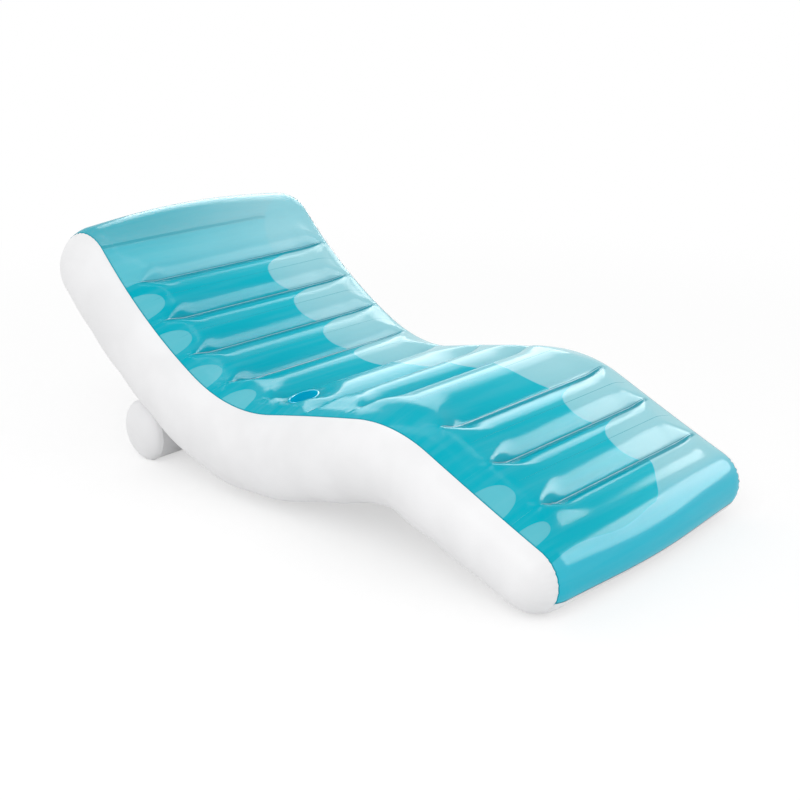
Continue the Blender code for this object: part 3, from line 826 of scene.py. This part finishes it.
def ripple(tree, vector, lengthwise, crosswise, detail):
    node = add_node(tree, "ShaderNodeGroup", {
        "Vector": vector, "Lengthwise": lengthwise, "Crosswise": crosswise, "Detail": detail,
    }, node_tree=ripple_group())
    return node.outputs["Height"], node.outputs["Cloud"]


def bump(tree, shader, height, strength, distance):
    node = add_node(tree, "ShaderNodeBump", {"Strength": strength, "Distance": distance, "Height": height})
    tree.links.new(node.outputs[0], shader.inputs["Normal"])


def cloudy_ripples(tree, shader, rate, strength, distance):
    """Gives a plain vinyl its fine ripples, and gives back its clouds."""
    vector = add_node(tree, "ShaderNodeTexCoord").outputs["Object"]
    height, cloud = ripple(tree, vector, rate, rate, detail=2.0)
    bump(tree, shader, height, strength, distance)
    return cloud


def shaded(colour, share):
    return colour4(c * share for c in colour)


def white_film():
    """Satin white vinyl, a little cloudy, with fine ripples."""
    found = bpy.data.materials.get("white_vinyl")
    if found:
        return found
    material, tree, shader = new_material("white_vinyl")
    white = settings().colours.white
    cloud = cloudy_ripples(tree, shader, rate=34.0, strength=0.25, distance=0.0012)
    fill(tree, shader, {
        "Base Color": mixed(tree, edge_step(tree, cloud, *CLOUD_EDGES), shaded(white, 0.955), colour4(white)),
        "Roughness": maths(tree, "MULTIPLY_ADD", cloud, 0.12, 0.30), "IOR": 1.45})
    return material


def inner_film(name="inner_vinyl", lighter=0.0):
    """The inner side of the white films, with painted light: a tint and a faint glow that stand in for the light coming
    through the films.
    """
    found = bpy.data.materials.get(name)
    if found:
        return found
    material, tree, shader = new_material(name)
    inner = tuple(c + (1 - c) * lighter for c in settings().colours.inner)
    cloud = cloudy_ripples(tree, shader, rate=30.0, strength=0.25, distance=0.0012)
    tint = mixed(tree, edge_step(tree, cloud, *CLOUD_EDGES), shaded(inner, 0.9), colour4(inner))
    # The emission is a painted glow, standing in for the light that comes through the films.
    fill(tree, shader, {"Base Color": tint, "Emission Color": tint, "Emission Strength": 0.22, "Roughness": 0.5})
    return material


def half_oval(tree, share, across, kind):
    """1 inside a half oval that grows from a side seam to the middle of a cell, and 0 outside it."""
    side, reach, centre, half_height, edge = kind
    away = maths(tree, "DIVIDE", maths(tree, "SUBTRACT", side * OVAL_ROOT, across), reach)
    middle = maths(tree, "DIVIDE", maths(tree, "SUBTRACT", share, centre), half_height)
    powers = [maths(tree, "POWER", maths(tree, "ABSOLUTE", value), power)
              for value, power in zip((middle, away), OVAL_POWERS)]
    return edge_step(tree, maths(tree, "ADD", *powers), 1.0 + edge, 1.0 - edge)


def top_film():
    """Clear teal vinyl with a deep two-tone print, pale ovals along both sides and pressed weld lines."""
    material, tree, shader = new_material("teal_vinyl")
    body, colours, fittings = settings().body, settings().colours, settings().fittings
    calc, step, mix = (partial(helper, tree) for helper in (maths, edge_step, mixed))
    uv = add_node(tree, "ShaderNodeUVMap", uv_map="film").outputs[0]
    along, across, _ = add_node(tree, "ShaderNodeSeparateXYZ", {0: uv}).outputs
    share, offset, inside = (attribute(tree, name) for name in ("cell_share", "weld_offset", "weld_inside"))
    height, cloud = ripple(tree, uv, lengthwise=46.0, crosswise=2.6, detail=3.0)

    # Pale half ovals along the left side, and smaller ones along the right side of some cells
    left_oval = calc("MULTIPLY", half_oval(tree, share, across, LEFT_OVALS),
                     step(along, WELD_PLACES[-1] + OVAL_STEP, WELD_PLACES[-1]))
    right_cells = calc("MAXIMUM", step(along, RIGHT_OVALS_END + OVAL_STEP, RIGHT_OVALS_END),
                       step(along, RIGHT_OVALS_RESTART, RIGHT_OVALS_RESTART + OVAL_STEP))
    right_oval = calc("MULTIPLY", half_oval(tree, share, across, RIGHT_OVALS), right_cells)
    # The print starts at the first weld and ends in a slow wave on the foot cell
    before_print = step(along, WELD_PLACES[0] + PRINT_START_EDGE, WELD_PLACES[0] - PRINT_START_EDGE)
    rate, shift, swing = PRINT_WAVE
    wave = calc("MULTIPLY", calc("SINE", calc("MULTIPLY_ADD", across, rate, shift)), swing)
    rounding = calc("MULTIPLY", step(across, *PRINT_ROUNDING[:2]), PRINT_ROUNDING[2])
    tail = calc("SUBTRACT", calc("ADD", calc("ADD", along, rounding), wave), PRINT_END)
    after_print = step(tail, -PRINT_END_EDGE, PRINT_END_EDGE)
    clear = calc("MAXIMUM", calc("MAXIMUM", left_oval, right_oval), calc("MAXIMUM", before_print, after_print))

    # Both tones lighten to the left as painted light, the pale one also changes round the ends, with painted sheen
    # streaks
    to_left = step(across, *SHADE_ACROSS)
    deep = mix(to_left, colour4(colours.deep), colour4(colours.deep_lit_left))
    pale = mix(to_left, colour4(colours.pale), colour4(colours.pale_lit_left))
    # Painted shade: the pale tone deepens round the head, where the film is seen edge-on and through its far layer.
    shade_round_head = calc("MULTIPLY", step(along, *HEAD_SHADE), calc("MULTIPLY_ADD", to_left, *HEAD_SHADE_SHARE))
    pale = mix(shade_round_head, pale, colour4(colours.head_end_shade))
    pale = mix(calc("MULTIPLY", step(along, *FOOT_ROUND), FOOT_ROUND_SHARE), pale, colour4(colours.foot_end))
    tint = mix(clear, deep, pale)
    # Painted sheen: faint whiter streaks where the ripples rise.
    tint = mix(step(height, *SHEEN_STREAKS), tint, mix(STREAK_SHEEN, tint, WHITE))

    # A deep band of painted fold shade on the foot side of a weld, a pressed line beside it, and a deep margin along
    # all edges
    on_weld = step(inside, 0.0, WELD_END_FADE)
    shade_end = calc("MULTIPLY_ADD", step(inside, 0.0, FOLD_SHADE_END_RISE), *FOLD_SHADE_END)
    band = calc("MULTIPLY", step(offset, *FOLD_SHADE_START), step(calc("SUBTRACT", offset, shade_end), FOLD_SHADE_EDGE, -FOLD_SHADE_EDGE))
    band = calc("MULTIPLY", band, on_weld)
    line = calc("MULTIPLY", step(calc("ABSOLUTE", calc("ADD", offset, LINE_PLACE)), *LINE_EDGE), on_weld)
    head_edge = -HEAD_SEAM_TURN * body.head_depth
    foot_edge = SPINE_LENGTH + FOOT_SEAM_TURN * body.foot_depth
    margin = calc("MAXIMUM", step(along, *(head_edge + part for part in HEAD_MARGIN)),
                  step(along, *(foot_edge - part for part in FOOT_MARGIN)))
    margin = calc("MAXIMUM", margin, step(calc("ABSOLUTE", across), *SIDE_MARGIN))
    solid = calc("MAXIMUM", band, margin)
    # The margin colour also paints the fold shade beside each weld.
    tint = mix(calc("MULTIPLY", solid, MARGIN_SHARE), tint, colour4(colours.margin))
    tint = mix(calc("MULTIPLY", line, LINE_SHARE), tint, colour4(colours.weld))

    # The film is clearer round the drink holder, which is seen through it, and at the head
    cup_along = calc("SUBTRACT", along, fittings.cup_share * SPINE_LENGTH)
    cup_across = calc("SUBTRACT", across, fittings.cup_side)
    from_cup = calc("SQRT", calc("ADD", calc("POWER", cup_along, 2.0), calc("POWER", cup_across, 2.0)))
    grazing = add_node(tree, "ShaderNodeLayerWeight", {"Blend": GRAZING_BLEND}).outputs["Facing"]
    alpha = calc("MULTIPLY_ADD", clear, -CLEAR_THINNER, PRINT_ALPHA)
    alpha = calc("SUBTRACT", alpha, calc("MULTIPLY", step(from_cup, *HOLDER_NEAR), HOLDER_THINNER))
    alpha = calc("SUBTRACT", alpha, calc("MULTIPLY", before_print, HEAD_THINNER))
    alpha = calc("MULTIPLY_ADD", grazing, GRAZING_THICKER, alpha, clamp=True)
    alpha = calc("MAXIMUM", alpha, calc("MULTIPLY", solid, MARGIN_ALPHA))
    fill(tree, shader, {
        "Base Color": tint, "Alpha": calc("MAXIMUM", alpha, line), "IOR": 1.50, "Specular IOR Level": 0.05,
        "Roughness": calc("MULTIPLY_ADD", cloud, 0.06, 0.12)})
    bump(tree, shader, height, strength=0.30, distance=0.0016)
    return material


def plain_clear(name, colour, alpha, roughness, glow=0.0):
    """Clear vinyl of a fitting, slightly cloudy, with an optional painted glow that stands in for light within it."""
    found = bpy.data.materials.get(name)
    if found:
        return found
    material, tree, shader = new_material(name)
    cloud = cloudy_ripples(tree, shader, rate=90.0, strength=0.2, distance=0.0006)
    tint = mixed(tree, cloud, shaded(colour, 0.86), colour4(colour))
    grazing = add_node(tree, "ShaderNodeLayerWeight", {"Blend": 0.4}).outputs["Facing"]
    fill(tree, shader, {
        "Base Color": tint, "Emission Color": tint, "Emission Strength": glow,
        "Alpha": maths(tree, "MULTIPLY_ADD", grazing, 0.5, alpha, clamp=True),
        "Roughness": maths(tree, "MULTIPLY_ADD", cloud, 0.08, roughness)})
    return material


# Pieces

def top_rows():
    """Rows of the top film from the seam behind the head to the seam at the foot: along, turn and run length."""
    head = turned_rows(HEAD_SEAM_TURN, float(depth(0.0)))[:0:-1]
    foot = turned_rows(FOOT_SEAM_TURN, float(depth(SPINE_LENGTH)))[1:]
    middle = spine_rows()
    along = np.concatenate((np.zeros(len(head)), middle, np.full(len(foot), SPINE_LENGTH)))
    turn = np.concatenate((head, np.zeros(len(middle)), foot))
    run = along.copy()
    run[:len(head)] = -head * float(depth(0.0))
    run[len(head) + len(middle):] = SPINE_LENGTH + foot * float(depth(SPINE_LENGTH))
    return along, turn, run


def across_length(y, angle):
    body = settings().body
    sideways = body.core_half_width + body.side_bulge * (FLAT - angle)
    return np.where(angle < FLAT - TINY, np.sign(y) * sideways, y)


def film_fields(run, y, across):
    """Where each point lies: its share of its cell, its distance from the nearest weld and from that weld's end."""
    share = cell_share(np.clip(run, 0.0, SPINE_LENGTH))
    nearest = np.abs(run[:, None] - WELD_PLACES[None, :]).argmin(axis=1)
    offset = run - WELD_PLACES[nearest]
    right, left = np.array(WELDS)[nearest, 1:].T
    inside = np.where(y[None, :] < 0, right[:, None], left[:, None]) - np.abs(y)[None, :]
    return {
        "cell_share": np.broadcast_to(share[:, None], inside.shape),
        "weld_offset": np.broadcast_to(offset[:, None], inside.shape),
        "weld_inside": inside,
    }, np.stack(np.broadcast_arrays(run[:, None], across[None, :]), axis=-1)


def build_top_film():
    fittings = settings().fittings
    along, turn, run = top_rows()
    y, angle = sheet_columns()
    points = skin(along, 1, turn, y, angle)
    fields, uv = film_fields(run, y, across_length(y, angle))
    # The mouth of the drink holder is left open, with the film's points drawn to its rim
    place, side, rim = fittings.cup_share * SPINE_LENGTH, fittings.cup_side, fittings.cup_top_radius
    rows, columns = np.meshgrid(run - place, y - side, indexing="ij")
    away = np.hypot(rows, columns)
    within, beyond = MOUTH_PULL
    scale = rim / np.maximum(away, TINY)
    for spot in zip(*np.nonzero((away > rim - within) & (away < rim + beyond))):
        points[spot] = top_point(place + rows[spot] * scale[spot], side + columns[spot] * scale[spot])
    inner = away < rim - within
    blocked = inner[:-1, :-1] | inner[1:, :-1] | inner[:-1, 1:] | inner[1:, 1:]
    thing = grid_object("top_film", points, fields, uv, keep=~blocked, flip=True)
    finish_film(thing, (top_film(),), "top_sheet")


def bottom_rows(seam_gap=0.0):
    """Rows of the underside from the foot seam, under the chair, to the seam behind the head: along and turn."""
    foot = turned_rows(math.pi - FOOT_SEAM_TURN - seam_gap, float(depth(SPINE_LENGTH)))[:0:-1]
    head = turned_rows(math.pi - HEAD_SEAM_TURN - seam_gap, float(depth(0.0)))[1:]
    middle = spine_rows()[::-1]
    along = np.concatenate((np.full(len(foot), SPINE_LENGTH), middle, np.zeros(len(head))))
    turn = np.concatenate((foot, np.zeros(len(middle)), head))
    return along, turn


def build_under_film():
    along, turn = bottom_rows(UNDER_SEAM_GAP)
    y, angle = sheet_columns()
    keep = np.arange(len(y)) % 2 == 0
    keep[-1] = True
    thing = grid_object("under_film", skin(along, -1, turn, y[keep], angle[keep]), flip=True)
    flatten_seat(thing, MAIN_VALVE_SEAT)
    finish_film(thing, (white_film(), inner_film()), "bottom_sheet")
    bore_seat(thing, MAIN_VALVE_SEAT)


def build_side_wall(sign):
    body = settings().body
    side = "left" if sign > 0 else "right"
    angle = np.concatenate((np.linspace(0.0, SEAM_ANGLE, WALL_STEPS), [SEAM_ANGLE + WALL_OVERLAP]))
    y = sign * (body.core_half_width + body.side_bulge * np.cos(angle))
    top_along, top_turn, _ = top_rows()
    low_along, low_turn = bottom_rows()
    points = np.concatenate((skin(top_along, 1, top_turn, y, angle, WALL_INSET, relief=False),
                             skin(low_along[1:-1], -1, low_turn[1:-1], y, angle, WALL_INSET, relief=False)))
    thing = grid_object(f"side_band_{side}", points, closed_rows=True, flip=sign < 0)
    # The walls' inner side is painted lighter, standing in for the light that comes through them.
    films = (white_film(), inner_film("inner_wall_vinyl", lighter=0.5))
    finish_film(thing, films, f"side_wall_{side}")


def build_inner_web(number):
    """A web from the top film's weld down to the underside."""
    _, right, left = WELDS[number - 1]
    y = np.linspace(-min(right, UNDER_WELD_REACH), min(left, UNDER_WELD_REACH), WEB_COLUMNS)
    top, low = (skin([WELD_PLACES[number - 1]], side, [0.0], y, np.full(WEB_COLUMNS, FLAT), WEB_INSET)
                for side in (1, -1))
    shares = np.linspace(0.0, 1.0, WEB_ROWS)[:, None, None]
    thing = grid_object(f"inner_web_{number:02d}", top * (1 - shares) + low * shares)
    finish_film(thing, (inner_film(),), f"baffle_{number:02d}", offset=0.0)


def roll_turns():
    sides = settings().fittings.roll_sides
    return np.arange(sides) * 2 * np.pi / sides


def roll_ring(scale, y, wave=0.0):
    """Points round the roll's oval section."""
    fittings = settings().fittings
    t, lean, scale = roll_turns(), fittings.roll_lean, scale * (1 + wave)
    across, up = fittings.roll_short_radius * scale * np.cos(t), fittings.roll_long_radius * scale * np.sin(t)
    x = across * math.cos(lean) - up * math.sin(lean)
    z = across * math.sin(lean) + up * math.cos(lean)
    return np.stack((x, np.full(len(x), y), z), axis=-1)


def roll_centre():
    return np.array([settings().fittings.roll_place, 0.0, -roll_ring(1.0, 0.0)[:, 2].min()])


def roll_object(name, rings, sign=1):
    points = np.stack(rings) + roll_centre()
    points[..., 2] = np.maximum(points[..., 2], FLOOR_GAP)
    points = np.concatenate((points, points[:, :1]), axis=1)
    return grid_object(name, points, flip=sign < 0)


def gather_wave(amount, count, shift):
    """Two waves of gathers round the roll, as a share of its radius."""
    t = roll_turns()
    rate, share, turned = SECOND_GATHER
    return amount * (np.cos(t * count + shift) + share * np.cos(t * math.floor(count * rate) + turned * shift))


def build_roll():
    fittings = settings().fittings
    half = fittings.roll_half_width
    end = np.linspace(half - ROLL_END, half, ROLL_END_RINGS)
    middle = np.linspace(ROLL_MIDDLE - half, half - ROLL_MIDDLE, ROLL_MIDDLE_RINGS)
    amount, width, count = ROLL_GATHERS
    rings = []
    for y in np.concatenate((-end[::-1], middle, end)):
        near_end = math.exp(-((half - abs(y)) / width) ** 2)
        wave = gather_wave(amount * near_end, count, math.copysign(1.0, y))
        rings.append(roll_ring(1.0 - ROLL_PINCH * near_end, y, wave))
    finish_film(roll_object("roll_tube_film", rings), (white_film(),), "roll_tube")
    amount, width, count = CAP_GATHERS
    for side, sign in (("right", -1), ("left", 1)):
        rings = [roll_ring(scale, sign * (half + beyond)) for scale, beyond in CAP_SEAM]
        for share in np.linspace(CAP_FIRST_RING, 0.0, CAP_RINGS):
            dome = CAP_STEP + fittings.cap_dome * math.sqrt(1 - share ** 2)
            wave = gather_wave(amount * math.exp(-((1 - share) / width) ** 2) * share, count, float(sign))
            rings.append(roll_ring(max(share, CAP_LAST_RING), sign * (half + dome), wave))
        cap = roll_object(f"roll_cap_film_{side}", rings, sign)
        close_ends(cap)
        if sign > 0:
            flatten_seat(cap, ROLL_VALVE_SEAT)
        finish_film(cap, (white_film(),), f"roll_cap_{side}")
        if sign > 0:
            bore_seat(cap, ROLL_VALVE_SEAT)


def close_ends(thing):
    """Closes the small hole that is left in the middle of a dome."""
    shape = bmesh.new()
    shape.from_mesh(thing.data)
    rims = [e for e in shape.edges if e.is_boundary and (e.verts[0].co - e.verts[1].co).length < SHORT_EDGE]
    if rims:
        bmesh.ops.edgeloop_fill(shape, edges=rims)
    shape.to_mesh(thing.data)
    shape.free()
    thing.data.shade_smooth()


def build_drink_holder(material):
    """A tapered sleeve with a welded rim, and a floor disc that is a little domed."""
    fittings = settings().fittings
    centre, opening = cup_mouth()
    turns = np.linspace(0.0, 2 * np.pi, HOLDER_POINTS)
    place, top = fittings.cup_share * SPINE_LENGTH, fittings.cup_top_radius

    def on_film(radius, height):
        ring = [top_point(place + radius * math.cos(t), fittings.cup_side + radius * math.sin(t)) for t in turns]
        return np.array(ring) + opening * height

    mouth = on_film(top, 0.0)
    rings = [on_film(top + fittings.cup_rim * share + more, height) for share, more, height in HOLDER_RIM]
    taper = (fittings.cup_floor_radius - top) / top
    for share in np.linspace(SLEEVE_START, 1.0, SLEEVE_RINGS):
        size = 1 + taper * share + SLEEVE_BULGE * math.sin(math.pi * share)
        rings.append(centre + (mouth - centre) * size - opening * fittings.cup_depth * share)
    sleeve = grid_object("drink_sleeve", np.stack(rings), flip=True)
    finish_film(sleeve, (material,), "cup_sleeve", offset=0.0)
    rings = []
    for share in np.linspace(1.0, 0.0, HOLDER_FLOOR_RINGS):
        dome = fittings.cup_depth + HOLDER_FLOOR_DROP - HOLDER_FLOOR_DOME * (1 - share ** 2)
        rings.append(centre + (mouth - centre) * (1 + taper) * max(share, HOLDER_FLOOR_HOLE) - opening * dome)
    floor = grid_object("drink_floor", np.stack(rings), flip=True)
    close_ends(floor)
    finish_film(floor, (material,), "cup_floor", offset=0.0)


def dress_node(name, material):
    """Gives a carried-over CAD node its material."""
    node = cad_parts[name]
    node.data.materials.clear()
    node.data.materials.append(material)


class POOLCHAIR_OT_top_film(bpy.types.Operator):
    """Build the clear teal top film with its welds and its print"""

    bl_idname = "pool_chair.top_film"
    bl_label = "Top film"

    def execute(self, context):
        build_top_film()
        return {"FINISHED"}


class POOLCHAIR_OT_white_films(bpy.types.Operator):
    """Build the white side walls and the underside"""

    bl_idname = "pool_chair.white_films"
    bl_label = "Side walls and underside"

    def execute(self, context):
        build_under_film()
        build_side_wall(-1)
        build_side_wall(1)
        return {"FINISHED"}


class POOLCHAIR_OT_inner_webs(bpy.types.Operator):
    """Build the inner webs under the welds"""

    bl_idname = "pool_chair.inner_webs"
    bl_label = "Inner webs"

    def execute(self, context):
        for number in range(1, len(WELDS) + 1):
            build_inner_web(number)
        return {"FINISHED"}


class POOLCHAIR_OT_support_roll(bpy.types.Operator):
    """Build the support roll under the back"""

    bl_idname = "pool_chair.support_roll"
    bl_label = "Support roll"

    def execute(self, context):
        build_roll()
        dress_node("roll_web", white_film())
        return {"FINISHED"}


class POOLCHAIR_OT_fittings(bpy.types.Operator):
    """Finish the drink holder and the valves"""

    bl_idname = "pool_chair.fittings"
    bl_label = "Drink holder and valves"

    def execute(self, context):
        colours = settings().colours
        # The drink holder gets a painted glow, standing in for light within its pocket.
        build_drink_holder(plain_clear("clear_blue_vinyl", colours.blue, alpha=0.80, roughness=0.06, glow=0.18))
        clear = plain_clear("clear_valve_vinyl", colours.clear, alpha=0.72, roughness=0.16)
        for name in VALVE_NODES:
            dress_node(name, clear)
        return {"FINISHED"}


def build_camera():
    data = bpy.data.cameras.new("camera")
    data.lens = CAMERA_LENS
    data.sensor_width = SENSOR_WIDTH
    data.clip_start, data.clip_end = CAMERA_CLIP
    camera = add_object("camera", data)
    turn = Matrix((CAMERA_RIGHT, CAMERA_UP, tuple(-c for c in CAMERA_FORWARD))).transposed()
    camera.matrix_world = Matrix.Translation(CAMERA_PLACE) @ turn.to_4x4()
    bpy.context.scene.camera = camera


def add_lamp(name, place, target, size, power, only_reflected):
    data = bpy.data.lights.new(name, "AREA")
    data.shape = "RECTANGLE"
    data.size, data.size_y = size
    data.energy = power
    lamp = add_object(name, data)
    lamp.location = place
    lamp.rotation_euler = (Vector(target) - Vector(place)).to_track_quat("-Z", "Y").to_euler()
    lamp.visible_diffuse = not only_reflected


def shown_white(tree):
    """1 for what the camera sees, also in reflections and through films, and 0 for the light on the object."""
    path = add_node(tree, "ShaderNodeLightPath").outputs
    return maths(tree, "MAXIMUM", path["Is Camera Ray"],
                 maths(tree, "MAXIMUM", path["Is Glossy Ray"], path["Is Transmission Ray"]))


def build_world():
    """A white studio: white behind the object and in its reflections, softer as light."""
    world = bpy.data.worlds.new("studio")
    bpy.context.scene.world = world
    world.use_nodes = True
    tree = world.node_tree
    tree.nodes.clear()
    strength = maths(tree, "MULTIPLY_ADD", shown_white(tree), 1.0 - WORLD_LIGHT, WORLD_LIGHT)
    back = add_node(tree, "ShaderNodeBackground", {"Color": WHITE, "Strength": strength})
    add_node(tree, "ShaderNodeOutputWorld", {0: back.outputs[0]})


def floor_material():
    """A white floor that keeps the shadow round the object and is plain white to the camera further out."""
    material, tree, shader = new_material("floor_white")
    tree.nodes.remove(shader)
    vector = add_node(tree, "ShaderNodeTexCoord").outputs["Object"]
    cloud = add_node(tree, "ShaderNodeTexNoise", {"Vector": vector, "Scale": 3.0}).outputs[0]
    away = add_node(tree, "ShaderNodeVectorMath", {0: vector}, operation="LENGTH").outputs["Value"]
    near = edge_step(tree, away, *FLOOR_NEAR)
    shown = shown_white(tree)
    to_camera = mixed(tree, near, BLACK, colour4((FLOOR_SHADOW * FLOOR_GAIN,) * 3))
    plain = mixed(tree, cloud, *(colour4((tone,) * 3) for tone in FLOOR_TONES))
    lit = add_node(tree, "ShaderNodeBsdfDiffuse", {"Color": mixed(tree, shown, plain, to_camera)})
    strength = maths(tree, "MULTIPLY", shown, maths(tree, "MULTIPLY_ADD", near, -FLOOR_SHADOW, 1.0))
    glow = add_node(tree, "ShaderNodeEmission", {"Color": WHITE, "Strength": strength})
    both = add_node(tree, "ShaderNodeAddShader", {0: lit.outputs[0], 1: glow.outputs[0]})
    fill(tree, tree.nodes["Material Output"], {"Surface": both.outputs[0]})
    return material


class POOLCHAIR_OT_stage(bpy.types.Operator):
    """Set the floor, the studio light and the camera"""

    bl_idname = "pool_chair.stage"
    bl_label = "Stage"

    def execute(self, context):
        bpy.ops.object.select_all(action="DESELECT")
        bpy.ops.mesh.primitive_circle_add(
            vertices=FLOOR_SIDES, radius=FLOOR_RADIUS, fill_type="NGON", location=(0, 0, 0))
        floor = bpy.context.active_object
        floor.name = "floor"
        floor.data.materials.append(floor_material())
        build_world()
        for lamp in LAMPS:
            add_lamp(*lamp)
        build_camera()
        context.scene.view_settings.view_transform = "Standard"
        return {"FINISHED"}


class POOLCHAIR_PT_panel(bpy.types.Panel):
    """The pool chair's steps"""

    bl_label = "Pool Chair"
    bl_idname = "POOLCHAIR_PT_panel"
    bl_space_type = "VIEW_3D"
    bl_region_type = "UI"
    bl_category = "Pool Chair"

    def draw(self, context):
        for operator in OPERATORS:
            self.layout.operator(operator.bl_idname)
        for group in (context.scene.pool_chair.body, context.scene.pool_chair.fittings,
                      context.scene.pool_chair.colours):
            box = self.layout.box()
            for name in group.__annotations__:
                box.prop(group, name)


OPERATORS = (
    POOLCHAIR_OT_top_film,
    POOLCHAIR_OT_white_films,
    POOLCHAIR_OT_inner_webs,
    POOLCHAIR_OT_support_roll,
    POOLCHAIR_OT_fittings,
    POOLCHAIR_OT_stage,
)
CLASSES = (PoolChairBody, PoolChairFittings, PoolChairColours, PoolChairSettings, *OPERATORS, POOLCHAIR_PT_panel)


def register():
    for cls in CLASSES:
        bpy.utils.register_class(cls)
    bpy.types.Scene.pool_chair = PointerProperty(type=PoolChairSettings)


def unregister():
    del bpy.types.Scene.pool_chair
    for cls in reversed(CLASSES):
        bpy.utils.unregister_class(cls)


def main():
    register()
    for operator in OPERATORS:
        group, name = operator.bl_idname.split(".")
        getattr(getattr(bpy.ops, group), name)()


if __name__ == "__main__":
    main()
